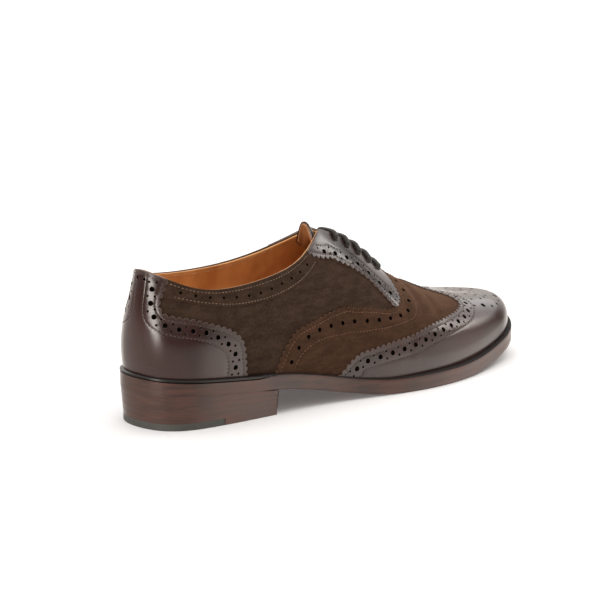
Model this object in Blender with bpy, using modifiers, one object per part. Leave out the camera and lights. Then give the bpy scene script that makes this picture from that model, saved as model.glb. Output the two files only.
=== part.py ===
"""A wingtip oxford for the right foot: one shoe, built on the sections of its last.

The toe points along +X, the outer side of the foot is -Y and the floor is z = 0.
A place on the upper is a station, counted from the heel back (0) along the outer side to the
toe (12) and home along the inner side (24), and a height from the welt (0) to the top line (1).
"""

import bmesh
import bpy
import numpy as np
from mathutils import Vector
from mathutils.geometry import delaunay_2d_cdt

# Driving dimensions, in metres
LENGTH = 0.300
BALL_WIDTH = 0.096
INSTEP = 0.097

# Sole and heel: thicknesses, heights, places along the shoe and how far the edges stay inside the welt
SOLE = 0.0055
WELT = 0.004
HEEL_BACK = 0.0222
HEEL_FRONT = 0.015
BREAST = 0.079
TREAD_FROM = 0.170
TREAD_TO = 0.212
TOE_SPRING = 0.0125
SPRING_CURVE = 1.7
TOP_PIECE = 0.004
TIP_STATION = 2.15
TIP_SEAM = 0.012
BREAST_STATION = 3.12
SOLE_INSET = 0.0006
HEEL_TAPER = 0.0010

# Leathers
WALL = 0.0020
OVERLAY = 0.0011
TONGUE = 0.0024
INSOLE = 0.0030
LACE = 0.0032

# Gaps between pieces that touch
GAP = 0.0003
OVERLAY_LIFT = 0.0004
LACE_CLEAR = 0.0006
TONGUE_CLEAR = 0.0010

# Fineness of the facets: in stations and heights, of a panel's edge in metres, and as counts
STATION_STEP = 0.25
HEIGHT_STEP = 1 / 10
EDGE_STEP = 0.0075
FACET_CLEAR = 0.003
SLAB_COLUMNS = 2
SOLE_ROWS = 48
HEEL_ROWS = 24
TREAD_ROWS = 16
INSOLE_ROWS = 36
CAP_FOLD_POINTS = 16
TONGUE_FACETS = (12, 14)
LACE_POINTS = 10
SHARP_EDGE = 0.7
WELD = 1e-6
PANEL_WELD = 2e-5

# One row a section, heel to toe. A section leaves the welt at along, across and ends at the top_
# point, which is the collar, then the facing's edge, then the ridge. foot_ and top_ out, up and
# down say how full it is at each end. along is a share of the length, across and welt of the ball
# width, and the others of the instep.
COLUMNS = (
    "along", "across", "welt", "top_along", "top_across", "top_up",
    "foot_out", "foot_up", "top_out", "top_down",
)
LATERAL = {
    "heel_back": (0.013, 0.000, 0.031, 0.028, 0.000, 0.938, 0.031, 0.247, 0.036, 0.237),
    "heel_round": (0.037, -0.219, 0.031, 0.052, -0.149, 0.892, 0.037, 0.237, 0.046, 0.227),
    "heel_side": (0.120, -0.313, 0.031, 0.123, -0.266, 0.818, 0.045, 0.216, 0.036, 0.206),
    "seat_front": (0.250, -0.349, 0.031, 0.247, -0.281, 0.823, 0.046, 0.216, 0.052, 0.186),
    "waist": (0.360, -0.370, 0.031, 0.367, -0.214, 0.881, 0.052, 0.278, 0.093, 0.206),
    "throat_top": (0.450, -0.406, 0.036, 0.468, -0.045, 1.000, 0.046, 0.351, 0.155, 0.155),
    "throat_mid": (0.533, -0.458, 0.047, 0.558, -0.030, 0.866, 0.041, 0.340, 0.186, 0.124),
    "throat_foot": (0.607, -0.493, 0.057, 0.640, 0.000, 0.675, 0.036, 0.289, 0.216, 0.072),
    "ball": (0.680, -0.495, 0.062, 0.697, 0.010, 0.570, 0.033, 0.232, 0.258, 0.021),
    "fore": (0.767, -0.453, 0.062, 0.760, 0.031, 0.480, 0.031, 0.205, 0.280, -0.005),
    "toe_side": (0.855, -0.376, 0.052, 0.817, 0.047, 0.424, 0.033, 0.192, 0.275, -0.010),
    "toe_round": (0.9435, -0.2255, 0.050, 0.853, 0.052, 0.398, 0.031, 0.185, 0.260, -0.010),
    "toe_tip": (0.991, 0.052, 0.050, 0.867, 0.052, 0.388, 0.026, 0.180, 0.250, -0.010),
}
MEDIAL = {
    "heel_round": (0.037, 0.214, 0.031, 0.052, 0.149, 0.905, 0.037, 0.237, 0.046, 0.227),
    "heel_side": (0.120, 0.313, 0.031, 0.123, 0.266, 0.835, 0.045, 0.216, 0.036, 0.206),
    "seat_front": (0.250, 0.302, 0.026, 0.247, 0.276, 0.812, 0.055, 0.216, 0.052, 0.186),
    "waist": (0.367, 0.281, 0.021, 0.367, 0.214, 0.860, 0.075, 0.278, 0.093, 0.206),
    "throat_top": (0.467, 0.297, 0.021, 0.468, 0.045, 1.000, 0.080, 0.351, 0.155, 0.155),
    "throat_mid": (0.560, 0.365, 0.031, 0.558, 0.030, 0.866, 0.060, 0.340, 0.186, 0.124),
    "throat_foot": (0.633, 0.443, 0.047, 0.640, 0.000, 0.675, 0.040, 0.289, 0.216, 0.072),
    "ball": (0.713, 0.495, 0.057, 0.697, 0.010, 0.570, 0.033, 0.232, 0.258, 0.021),
    "fore": (0.800, 0.484, 0.062, 0.760, 0.031, 0.480, 0.031, 0.205, 0.280, -0.005),
    "toe_side": (0.882, 0.430, 0.052, 0.817, 0.047, 0.424, 0.033, 0.192, 0.275, -0.010),
    "toe_round": (0.9505, 0.2775, 0.050, 0.853, 0.052, 0.398, 0.031, 0.185, 0.260, -0.010),
}
LAP = 24
TOE = 12
THROAT_TOP = 5
THROAT_FOOT = 7
RIDGE_BLEND = 1.5

# Edges of the panels on the outer side, as station, height
COUNTER_EDGE = (
    (2.56, 0.0), (2.51, 0.2), (2.47, 0.37), (2.35, 0.49), (2.15, 0.575), (1.9, 0.625), (1.6, 0.655),
    (1.2, 0.652), (0.88, 0.645), (0.74, 0.69), (0.72, 0.76), (0.82, 0.86), (0.97, 1.0),
)
COLLAR_EDGE = (
    (0.85, 0.82), (1.4, 0.843), (2.0, 0.838), (2.4, 0.8), (3.0, 0.775), (3.5, 0.793), (4.0, 0.815),
    (4.64, 0.835),
)
EYESTAY_EDGE = (
    (4.28, 1.0), (4.42, 0.92), (4.6, 0.85), (4.8, 0.785), (5.06, 0.732), (5.45, 0.706), (5.75, 0.68),
    (6.0, 0.645), (6.2, 0.598), (6.4, 0.537), (6.56, 0.48),
)
VAMP_EDGE = (
    (3.1, 0.0), (3.2, 0.145), (3.33, 0.27), (3.58, 0.385), (3.96, 0.42), (4.4, 0.43), (5.1, 0.408),
    (5.6, 0.418), (6.1, 0.432), (6.5, 0.462), (6.8, 0.525), (6.96, 0.6), (7.02, 0.69), (7.06, 0.78),
    (7.08, 0.89), (7.06, 1.0),
)
WING_EDGE = (
    (4.56, 0.0), (5.04, 0.113), (5.5, 0.165), (6.0, 0.207), (6.54, 0.246), (7.06, 0.29), (7.58, 0.35),
    (8.18, 0.413), (8.7, 0.469), (9.1, 0.52), (9.4, 0.59), (9.52, 0.68), (9.48, 0.77), (9.3, 0.83),
    (8.95, 0.88), (8.5, 0.94), (8.25, 1.0),
)
# Station where an eyestay's foot leaves the facing, and the height up to which it follows the vamp
FACING_FOOT = 6.94
HEM_TOP = 0.97
# How far above its lower edge a collar band's two ends begin, in heights
BAND_CORNERS = (0.03, 0.02)
# Size of one station and of one height in a flat pattern, in metres
PATTERN = np.array([0.026, 0.060])
# Panels stop this much above the welt, in heights
PANEL_FOOT = 0.012

# Lace bars: station and height of each bar's eyelet
EYELETS = ((5.38, 0.93), (5.72, 0.905), (6.06, 0.89), (6.41, 0.88), (6.76, 0.88))
FACING_EDGE = 0.995

# Tongue: station of its foot, heights of its sides, how much of it the facings cover, how it narrows
# and how far its top stands back and up from the throat's top, with round corners
TONGUE_FOOT = 7.3
TONGUE_SIDES = (0.78, 0.88, 0.97)
TONGUE_COVERED = 0.85
TONGUE_TAPER = 1.2
TONGUE_TAPER_FROM = 0.6
TONGUE_BACK = 0.0060
TONGUE_RISE = 0.0095
TONGUE_ROUND = 0.7

# Finishes: colour and roughness
BLACK_LEATHER = ((0.030, 0.018, 0.015), 0.25)
BURNISHED_LEATHER = ((0.045, 0.022, 0.018), 0.30)
SUEDE = ((0.052, 0.034, 0.024), 0.95)
RED_SUEDE = ((0.070, 0.038, 0.024), 0.95)
SOLE_LEATHER = ((0.095, 0.040, 0.028), 0.35)
LINING_LEATHER = ((0.330, 0.130, 0.045), 0.50)
HEEL_RUBBER = ((0.035, 0.038, 0.036), 0.60)
LACE_COTTON = ((0.030, 0.024, 0.022), 0.70)


def spline(rows, at):
    """Natural cubic spline through rows that stand at 0, 1, 2 and so on, read at the places in at."""
    rows = np.asarray(rows, float)
    count = len(rows)
    system = 4 * np.eye(count) + np.eye(count, k=1) + np.eye(count, k=-1)
    system[0] = system[-1] = 0
    system[0, 0] = system[-1, -1] = 1
    bend = np.zeros_like(rows)
    bend[1:-1] = 6 * (rows[2:] - 2 * rows[1:-1] + rows[:-2])
    bend = np.linalg.solve(system, bend)
    first = np.clip(np.floor(at).astype(int), 0, count - 2)
    part = (at - first)[..., None]
    start, end = rows[first], rows[first + 1]
    sag = (2 - part) * bend[first] + (1 + part) * bend[first + 1]
    return start + (end - start) * part - part * (1 - part) / 6 * sag


def sections():
    """The sections around the shoe in metres, heel back first, and their columns by name."""
    rows = list(LATERAL.values()) + list(MEDIAL.values())[::-1]
    unit = dict.fromkeys(COLUMNS, INSTEP)
    unit.update(dict.fromkeys(("along", "top_along"), LENGTH))
    unit.update(dict.fromkeys(("across", "top_across", "welt"), BALL_WIDTH))
    return np.array(rows) * list(unit.values())


SECTIONS = sections()


def columns(first, last):
    """The section columns from one name to another."""
    return SECTIONS[:, COLUMNS.index(first):COLUMNS.index(last) + 1]


def around(values, station):
    """A closed spline through the values of all sections, read at stations."""
    return spline(np.concatenate([values] * 3), np.mod(station, LAP) + LAP)


def sole_under(x):
    """Height of the sole's underside: heel seat, arch, flat tread and toe spring."""
    slope = (HEEL_BACK - HEEL_FRONT) / BREAST
    seat = HEEL_FRONT + (BREAST - x) * slope
    rise = np.clip((TREAD_FROM - x) / (TREAD_FROM - BREAST), 0, 1)
    arch = HEEL_FRONT * rise**2 * (3 - 2 * rise) + slope * (TREAD_FROM - BREAST) * rise**2 * (rise - 1)
    spring = np.clip((x - TREAD_TO) / (LENGTH - TREAD_TO), 0, None)
    return np.where(x < BREAST, seat, arch) + TOE_SPRING * spring**SPRING_CURVE


def feather(station):
    """The line where the upper meets the welt."""
    plan = around(columns("along", "across"), station)
    height = sole_under(plan[..., 0]) + SOLE + WELT + GAP
    return np.concatenate([plan, height[..., None]], axis=-1)


def sole_outline(station, inset=0.0):
    """Plan of the sole's edge, or of a line that lies inside it."""
    step = 0.01
    ahead = around(columns("along", "across"), station + step)
    behind = around(columns("along", "across"), station - step)
    run = ahead - behind
    out = np.stack([run[..., 1], -run[..., 0]], axis=-1)
    out /= np.linalg.norm(out, axis=-1, keepdims=True)
    margin = around(columns("welt", "welt"), station)
    return around(columns("along", "across"), station) + out * (margin - inset)


def crest(station):
    """Where the sections end: the collar, a corner at the throat's top, the facings and the ridge."""
    ends = columns("top_along", "top_up")
    lap = np.mod(station, LAP)
    front = ends[THROAT_TOP:LAP - THROAT_TOP + 1]
    rear = np.concatenate([ends[LAP - THROAT_TOP:], ends[:THROAT_TOP + 1]])
    throat = spline(front, np.clip(lap - THROAT_TOP, 0, len(front) - 1))
    other = spline(front, np.clip(LAP - lap - THROAT_TOP, 0, len(front) - 1))
    collar = spline(rear, np.clip(np.mod(lap + THROAT_TOP, LAP), 0, len(rear) - 1))
    from_heel = np.minimum(lap, LAP - lap)[..., None]
    throat = np.where(from_heel >= THROAT_FOOT, (throat + other) / 2, throat)
    return np.where(from_heel < THROAT_TOP, collar, throat)


def ridge_slope(station):
    """Fall of the ridge for each metre forward, blended in from the middle of the throat."""
    from_heel = np.minimum(np.mod(station, LAP), LAP - np.mod(station, LAP))
    step = 0.02
    ahead = crest(from_heel)
    behind = crest(np.maximum(from_heel - step, THROAT_TOP))
    run = np.maximum(ahead[..., 0] - behind[..., 0], 1e-6)
    blend = np.clip((from_heel - THROAT_FOOT + 1) / RIDGE_BLEND, 0, 1)
    return (ahead[..., 2] - behind[..., 2]) / run * blend**2 * (3 - 2 * blend)


def last_surface(station, height):
    """Points of the upper's outer face: one Bezier curve a section, from the welt to its crest."""
    foot, top = feather(station), crest(station)
    full = around(columns("foot_out", "top_down"), station)
    out = (foot - top) * [1, 1, 0]
    out /= np.linalg.norm(out, axis=-1, keepdims=True)
    up = np.array([0, 0, 1.0])
    low = foot + out * full[..., 0:1] + up * full[..., 1:2]
    fall = ridge_slope(station) * out[..., 0] * full[..., 2] - full[..., 3]
    high = top + out * full[..., 2:3] + up * fall[..., None]
    t = np.asarray(height)[..., None]
    return (1 - t)**3 * foot + 3 * t * (1 - t)**2 * low + 3 * t**2 * (1 - t) * high + t**3 * top


def face_out(station, height):
    """Directions out of the upper's face."""
    step = 0.002
    along = last_surface(station + step, height) - last_surface(station - step, height)
    lower, upper = np.clip(height - step, 0, 1), np.clip(height + step, 0, 1)
    out = np.cross(along, last_surface(station, upper) - last_surface(station, lower))
    return out / np.linalg.norm(out, axis=-1, keepdims=True)


def skin(station, height, lift=0.0):
    """Points on the upper's face, or lifted off it. The two sides share one direction on the ridge."""
    station, height = np.broadcast_arrays(np.asarray(station, float), np.asarray(height, float))
    points = last_surface(station, height)
    if lift == 0.0:
        return points
    out = face_out(station, height)
    lap = np.mod(station, LAP)
    on_ridge = (height > 0.999) & (lap >= THROAT_FOOT) & (lap <= LAP - THROAT_FOOT)
    both = out + face_out(LAP - station, height)
    out = np.where(on_ridge[..., None], both / np.linalg.norm(both, axis=-1, keepdims=True), out)
    return points + out * lift


def middle_of_sole():
    """Plan centre of the sole's box, which becomes the origin."""
    edge = sole_outline(np.linspace(0, LAP, 961))
    return np.append((edge.min(axis=0) + edge.max(axis=0)) / 2, 0.0)


CENTRE = middle_of_sole()


def material(name, finish):
    """A plain Principled material with a finish's colour and roughness."""
    colour, roughness = finish
    made = bpy.data.materials.new(name)
    made.use_nodes = True
    shader = made.node_tree.nodes["Principled BSDF"]
    shader.inputs["Base Color"].default_value = (*colour, 1.0)
    shader.inputs["Roughness"].default_value = roughness
    shader.inputs["Metallic"].default_value = 0.0
    return made


def add_object(name, bm, parts, finish):
    """A mesh object in the parts' collection, with its origin at the shoe's origin."""
    mesh = bpy.data.meshes.new(name)
    bm.to_mesh(mesh)
    bm.free()
    mesh.shade_smooth()
    mesh.set_sharp_from_angle(angle=SHARP_EDGE)
    made = bpy.data.objects.new(name, mesh)
    made.data.materials.append(material(name, finish))
    parts.objects.link(made)
    return made


def give_thickness(made, thickness, outward):
    """Make an open surface a wall, grown outward or inward."""
    wall = made.modifiers.new("wall", "SOLIDIFY")
    wall.thickness = thickness
    wall.offset = 1.0 if outward else -1.0
    return made


def grid(columns_across, rows_along, place):
    """A sheet of squares moved onto place(u, v), where u and v run from 0 to 1."""
    bm = bmesh.new()
    bmesh.ops.create_grid(bm, x_segments=columns_across, y_segments=rows_along, size=0.5)
    at = np.array([vert.co for vert in bm.verts])[:, :2] + 0.5
    across, run = bm.verts.layers.float.new("across"), bm.verts.layers.float.new("run")
    for vert, (u, v), point in zip(bm.verts, at, place(at[:, 0], at[:, 1]) - CENTRE):
        vert.co = point
        vert[across] = u
        vert[run] = v
    bmesh.ops.remove_doubles(bm, verts=bm.verts, dist=WELD)
    return bm


def face_up(bm):
    """Turn a sheet's faces to point up."""
    bmesh.ops.recalc_face_normals(bm, faces=bm.faces)
    if sum(face.normal.z for face in bm.faces) < 0:
        bmesh.ops.reverse_faces(bm, faces=bm.faces)


def slab(name, stations, low, high, parts, finish, inset=(0.0, 0.0), rows=SOLE_ROWS):
    """A layer of the sole between two heights that depend on x, over a run of stations.

    inset holds how far the layer's outline stays inside the sole's edge below and above.
    """
    def plan(u, v, level):
        station = stations[0] + (stations[1] - stations[0]) * v
        outer, inner = sole_outline(station, inset[level]), sole_outline(LAP - station, inset[level])
        flat = outer + (inner - outer) * u[:, None]
        if stations[1] < TOE:
            flat[:, 0] = np.minimum(flat[:, 0], BREAST)
        return np.column_stack([flat, (low, high)[level](flat[:, 0])])

    bm = grid(SLAB_COLUMNS, rows, lambda u, v: plan(u, v, 0))
    face_up(bm)
    raised = bmesh.ops.extrude_face_region(bm, geom=bm.faces[:], use_keep_orig=True)
    upper = [item for item in raised["geom"] if isinstance(item, bmesh.types.BMVert)]
    across, run = bm.verts.layers.float["across"], bm.verts.layers.float["run"]
    at = np.array([(vert[across], vert[run]) for vert in upper])
    for vert, point in zip(upper, plan(at[:, 0], at[:, 1], 1) - CENTRE):
        vert.co = point
    bmesh.ops.recalc_face_normals(bm, faces=bm.faces)
    return add_object(name, bm, parts, finish)


def walk(curve, step=EDGE_STEP):
    """A panel edge's points, read from a smooth curve through its table about every step."""
    curve = np.array(curve)
    reads_a_point = 40
    fine = spline(curve, np.linspace(0, len(curve) - 1, reads_a_point * len(curve)))
    gone = np.concatenate([[0], np.cumsum(np.linalg.norm(np.diff(fine * PATTERN, axis=0), axis=1))])
    at = np.linspace(0, gone[-1], max(2, int(round(gone[-1] / step)) + 1))
    return np.column_stack([np.interp(at, gone, fine[:, i]) for i in (0, 1)])


def beside(edge, distance):
    """A panel edge moved to its left in the flat pattern, so that neighbours don't touch."""
    flat = edge * PATTERN
    run = np.gradient(flat, axis=0)
    left = np.column_stack([-run[:, 1], run[:, 0]]) / np.linalg.norm(run, axis=1)[:, None]
    return (flat + left * distance) / PATTERN


def straight(start, end, step=EDGE_STEP):
    """Evenly spaced points between two places of the pattern, both ends left out."""
    start, end = np.array(start), np.array(end)
    count = max(2, int(round(np.linalg.norm((end - start) * PATTERN) / step)) + 1)
    return (start + (end - start) * np.linspace(0, 1, count)[:, None])[1:-1]


def inside(points, outline, clear):
    """Which points lie in an outline and clear of it."""
    ahead = np.roll(outline, -1, axis=0)
    x, y = points[:, :1], points[:, 1:]
    crosses = (outline[:, 1] > y) != (ahead[:, 1] > y)
    run, rise = (ahead - outline).T
    meets = outline[:, 0] + (y - outline[:, 1]) / np.where(rise == 0, 1, rise) * run
    within = (crosses & (x < meets)).sum(axis=1) % 2 == 1
    away = np.linalg.norm(points[:, None] - outline[None], axis=2).min(axis=1)
    return within & (away > clear)


def upper_nodes():
    """Stations and heights of the upper's own facets, which its overlays share."""
    stations = np.linspace(0, LAP, round(LAP / STATION_STEP) + 1)
    heights = np.linspace(0, 1, round(1 / HEIGHT_STEP) + 1)
    station, height = np.meshgrid(stations, heights)
    return np.column_stack([station.ravel(), height.ravel()])


def panel(name, outlines, parts, finish):
    """An overlay: flat patterns cut to their outlines, laid on the upper and given thickness."""
    bm = bmesh.new()
    for outline in outlines:
        outline = np.array(outline)
        outline[:, 1] = np.clip(outline[:, 1], PANEL_FOOT, 1)
        flat = outline * PATTERN
        spare = upper_nodes()
        spare = np.concatenate([spare, spare - [LAP, 0]])
        spare = spare[inside(spare * PATTERN, flat, FACET_CLEAR)]
        points = np.concatenate([outline, spare])
        ring = [(i, (i + 1) % len(outline)) for i in range(len(outline))]
        cut = delaunay_2d_cdt([Vector(p) for p in points * PATTERN], ring, [], 1, WELD)
        places = np.array([p[:] for p in cut[0]]) / PATTERN
        laid = skin(places[:, 0], np.clip(places[:, 1], 0, 1), OVERLAY_LIFT) - CENTRE
        verts = [bm.verts.new(p) for p in laid]
        for face in cut[2]:
            bm.faces.new([verts[i] for i in face])
    bmesh.ops.remove_doubles(bm, verts=bm.verts, dist=PANEL_WELD)
    bmesh.ops.delete(bm, geom=[vert for vert in bm.verts if not vert.link_faces], context="VERTS")
    return give_thickness(add_object(name, bm, parts, finish), OVERLAY, True)


def other_side(outline):
    """The same outline on the inner side of the shoe."""
    return (np.array(outline) * [-1, 1] + [LAP, 0])[::-1]


def make_sole(parts):
    """Outsole, welt with its filler, heel lifts and the two halves of the heel's tread."""
    def welt_under(x):
        return sole_under(x) + SOLE

    def lift_under(x):
        return np.full_like(x, TOP_PIECE + GAP)

    def floor(x):
        return np.zeros_like(x)

    def seat_under(x):
        return sole_under(x) - GAP

    def outsole_top(x):
        return welt_under(x) - GAP

    def welt_top(x):
        return welt_under(x) + WELT

    def top_piece_top(x):
        return floor(x) + TOP_PIECE

    edge = (SOLE_INSET, SOLE_INSET)
    slab("outsole", (0, TOE), sole_under, outsole_top, parts, SOLE_LEATHER, edge)
    slab("welt", (0, TOE), welt_under, welt_top, parts, BLACK_LEATHER)
    low = SOLE_INSET + HEEL_TAPER
    stack = (0, BREAST_STATION)
    slab("heel_lifts", stack, lift_under, seat_under, parts, SOLE_LEATHER, (low, SOLE_INSET), HEEL_ROWS)
    tread = {
        "heel_rubber_tip": ((0, TIP_STATION), HEEL_RUBBER),
        "heel_top_piece": ((TIP_STATION + TIP_SEAM, BREAST_STATION), SOLE_LEATHER),
    }
    for name, (stations, finish) in tread.items():
        slab(name, stations, floor, top_piece_top, parts, finish, (low, low), TREAD_ROWS)


def make_insole(parts):
    """The insole, inside the upper's wall and on the welt's filler."""
    inside_wall = WALL + 2 * GAP

    def place(u, v):
        station = TOE * v
        ends = []
        for at in (station, LAP - station):
            ends.append(sole_outline(at, around(columns("welt", "welt"), at) + inside_wall))
        flat = ends[0] + (ends[1] - ends[0]) * u[:, None]
        return np.column_stack([flat, sole_under(flat[:, 0]) + SOLE + WELT + GAP])

    bm = grid(SLAB_COLUMNS, INSOLE_ROWS, place)
    face_up(bm)
    return give_thickness(add_object("insole", bm, parts, LINING_LEATHER), INSOLE, True)


def make_upper(parts):
    """The quarters and lining as one wall on the last, open at the collar, the throat and below."""
    def place(u, v):
        return skin(LAP * u, v)

    bm = grid(round(LAP / STATION_STEP), round(1 / HEIGHT_STEP), place)
    bmesh.ops.recalc_face_normals(bm, faces=bm.faces)
    middle = Vector((0, 0, INSTEP / 2))
    if bm.faces[0].normal.dot(bm.faces[0].calc_center_median() - middle) < 0:
        bmesh.ops.reverse_faces(bm, faces=bm.faces)
    return give_thickness(add_object("upper", bm, parts, SUEDE), WALL, False)


def tongue_section(station):
    """Points across the tongue under the facings at one station."""
    depth = -(WALL + TONGUE_CLEAR * (1 + max(0.0, THROAT_TOP + 1 - station)))
    heights = np.array(TONGUE_SIDES)
    outer = skin(station, heights, depth)
    inner = skin(LAP - station, heights, depth)
    return np.concatenate([outer, inner[::-1]])


def make_tongue(parts):
    """The tongue: it follows the facings' inner face, bridges the throat and stands above it."""
    def place(u, v):
        points = []
        for across, run in zip(u, v):
            covered = min(run / TONGUE_COVERED, 1.0)
            above = max(0.0, (run - TONGUE_COVERED) / (1 - TONGUE_COVERED))
            section = tongue_section(TONGUE_FOOT + (THROAT_TOP - TONGUE_FOOT) * covered)
            from_middle = 2 * across - 1
            width = 1 - TONGUE_TAPER * max(0.0, run - TONGUE_TAPER_FROM)
            middle = (len(section) - 1) / 2
            point = spline(section, np.array([middle + middle * from_middle * width]))[0]
            droop = 1 - TONGUE_ROUND * from_middle**2
            points.append(point + above * np.array([-TONGUE_BACK, 0, TONGUE_RISE * droop]))
        return np.array(points)

    bm = grid(*TONGUE_FACETS, place)
    face_up(bm)
    return give_thickness(add_object("tongue", bm, parts, LINING_LEATHER), TONGUE, False)


def make_overlays(parts):
    """Counter, collar bands, eyestays, vamp and wing cap, edge to edge on the upper."""
    counter, collar = walk(COUNTER_EDGE), walk(COLLAR_EDGE)
    eyestay, vamp, wing = walk(EYESTAY_EDGE), walk(VAMP_EDGE), walk(WING_EDGE)
    make_counter(parts, counter)
    make_collar_bands(parts, counter, collar, eyestay)
    make_eyestays(parts, eyestay, vamp)
    make_vamp(parts, vamp, wing)
    make_wing_cap(parts, wing)


def make_counter(parts, counter):
    """The counter, one piece around the heel."""
    outer = beside(counter, GAP)
    inner = other_side(outer)[::-1] - [LAP, 0]
    foot, top = COUNTER_EDGE[0][0], COUNTER_EDGE[-1][0]
    topline = straight((-top, 1.0), (top, 1.0))
    welt_line = straight((foot, 0.0), (-foot, 0.0))
    outline = np.concatenate([inner, topline, outer[::-1], welt_line])
    panel("heel_counter", [outline], parts, BURNISHED_LEATHER)


def make_collar_bands(parts, counter, collar, eyestay):
    """The bands under the topline, from the counter to the eyestays."""
    start, end = beside(counter, -GAP), beside(eyestay, -GAP)
    start = start[start[:, 1] > collar[0, 1] + BAND_CORNERS[0]]
    end = end[end[:, 1] > collar[-1, 1] + BAND_CORNERS[1]][::-1]
    band = np.concatenate([collar, end, straight(end[-1], start[-1]), start[::-1]])
    panel("collar_band_lateral", [band], parts, SUEDE)
    panel("collar_band_medial", [other_side(band)], parts, SUEDE)


def make_eyestays(parts, eyestay, vamp):
    """The lace facings, which follow the throat and end against the vamp."""
    hem = beside(vamp, GAP)
    hem = hem[(hem[:, 0] > eyestay[-1, 0]) & (hem[:, 1] < HEM_TOP)]
    foot, corner, top = (FACING_FOOT, 1.0), (THROAT_TOP, 1.0), EYESTAY_EDGE[0]
    facing = np.concatenate([[foot], straight(foot, corner), [corner], straight(corner, top)])
    strap = np.concatenate([beside(eyestay, GAP), hem, facing])
    panel("eyestay_lateral", [strap], parts, BURNISHED_LEATHER)
    panel("eyestay_medial", [other_side(strap)], parts, BURNISHED_LEATHER)


def make_vamp(parts, vamp, wing):
    """The vamp between the quarters and the wing cap, its two halves joined along the ridge."""
    front, back = beside(wing, GAP), beside(vamp, -GAP)
    front[-1, 1] = back[-1, 1] = 1.0
    ridge, welt_line = straight(back[-1], front[-1]), straight(front[0], back[0])
    half = np.concatenate([back, ridge, front[::-1], welt_line])
    panel("vamp", [half, other_side(half)], parts, RED_SUEDE)


def make_wing_cap(parts, wing):
    """The wing cap, one piece around the toe, folded together along the ridge."""
    edge = beside(wing, -GAP)
    edge[-1, 1] = 1.0
    # An even count leaves no point at the toe's own station, where the two sides meet
    fold = np.linspace(edge[-1, 0], LAP - edge[-1, 0], CAP_FOLD_POINTS)[1:-1]
    ridge = np.column_stack([fold, np.ones_like(fold)])
    foot = WING_EDGE[0][0]
    welt_line = straight((LAP - foot, 0.0), (foot, 0.0))
    outline = np.concatenate([edge, ridge, other_side(edge), welt_line])
    panel("wing_cap", [outline], parts, BURNISHED_LEATHER)


def make_laces(parts):
    """Five straight lace bars from eyelet to eyelet, lying on the facings."""
    lift = OVERLAY_LIFT + OVERLAY + LACE_CLEAR + LACE / 2
    for number, (station, height) in enumerate(EYELETS, start=1):
        stations = np.array([station, station, LAP - station, LAP - station])
        heights = np.array([height, FACING_EDGE, FACING_EDGE, height])
        reads = np.linspace(0, len(stations) - 1, LACE_POINTS)
        route = spline(skin(stations, heights, lift), reads) - CENTRE
        name = f"lace_bar_{number}"
        curve = bpy.data.curves.new(name, "CURVE")
        curve.dimensions = "3D"
        curve.bevel_depth = LACE / 2
        curve.bevel_resolution = 2
        curve.use_fill_caps = True
        line = curve.splines.new("POLY")
        line.points.add(len(route) - 1)
        for point, place in zip(line.points, route):
            point.co = (*place, 1.0)
        made = bpy.data.objects.new(name, curve)
        curve.materials.append(material(name, LACE_COTTON))
        parts.objects.link(made)


def main():
    """Clear the scene and build the shoe."""
    for old in list(bpy.data.objects):
        bpy.data.objects.remove(old, do_unlink=True)
    parts = bpy.data.collections.new("wingtip_oxford")
    bpy.context.scene.collection.children.link(parts)
    make_sole(parts)
    make_insole(parts)
    make_upper(parts)
    make_tongue(parts)
    make_overlays(parts)
    make_laces(parts)


main()
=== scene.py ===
# %% [markdown]
# # A wingtip oxford in brown leather and suede
# A dress shoe is flat leather cut to patterns, punched, sewn together, pulled over a last and
# stitched to a welt and a sole. This script makes the looks of one right shoe in that order around
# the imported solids, which give its sizes. The toe points along +X and the outer side is -Y.

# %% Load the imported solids
import contextlib
import math

import bpy
import numpy as np
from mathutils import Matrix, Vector, kdtree
from mathutils.geometry import delaunay_2d_cdt


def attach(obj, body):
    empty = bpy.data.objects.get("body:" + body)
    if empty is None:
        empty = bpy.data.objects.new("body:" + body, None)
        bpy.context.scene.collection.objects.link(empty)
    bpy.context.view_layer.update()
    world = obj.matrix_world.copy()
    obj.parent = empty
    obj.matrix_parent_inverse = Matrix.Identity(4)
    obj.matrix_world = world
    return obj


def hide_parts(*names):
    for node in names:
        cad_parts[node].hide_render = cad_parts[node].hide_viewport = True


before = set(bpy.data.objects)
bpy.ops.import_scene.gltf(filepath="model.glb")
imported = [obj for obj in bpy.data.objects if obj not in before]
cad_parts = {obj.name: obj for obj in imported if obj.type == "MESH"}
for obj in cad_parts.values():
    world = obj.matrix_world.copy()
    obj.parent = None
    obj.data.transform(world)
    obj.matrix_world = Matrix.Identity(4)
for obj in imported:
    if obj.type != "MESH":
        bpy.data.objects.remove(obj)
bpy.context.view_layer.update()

# %% [markdown]
# ## The last
# Every piece of the upper lies on one surface, the last. A place on it is a station, counted from the
# heel back (0) along the outer side to the toe (12) and home along the inner side (24), and a height
# from the welt (0) to the top line (1). One Bezier curve a section is enough, and splines run through
# the sections. The solids were made from this same table, so what is laid on it fits them.

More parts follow.
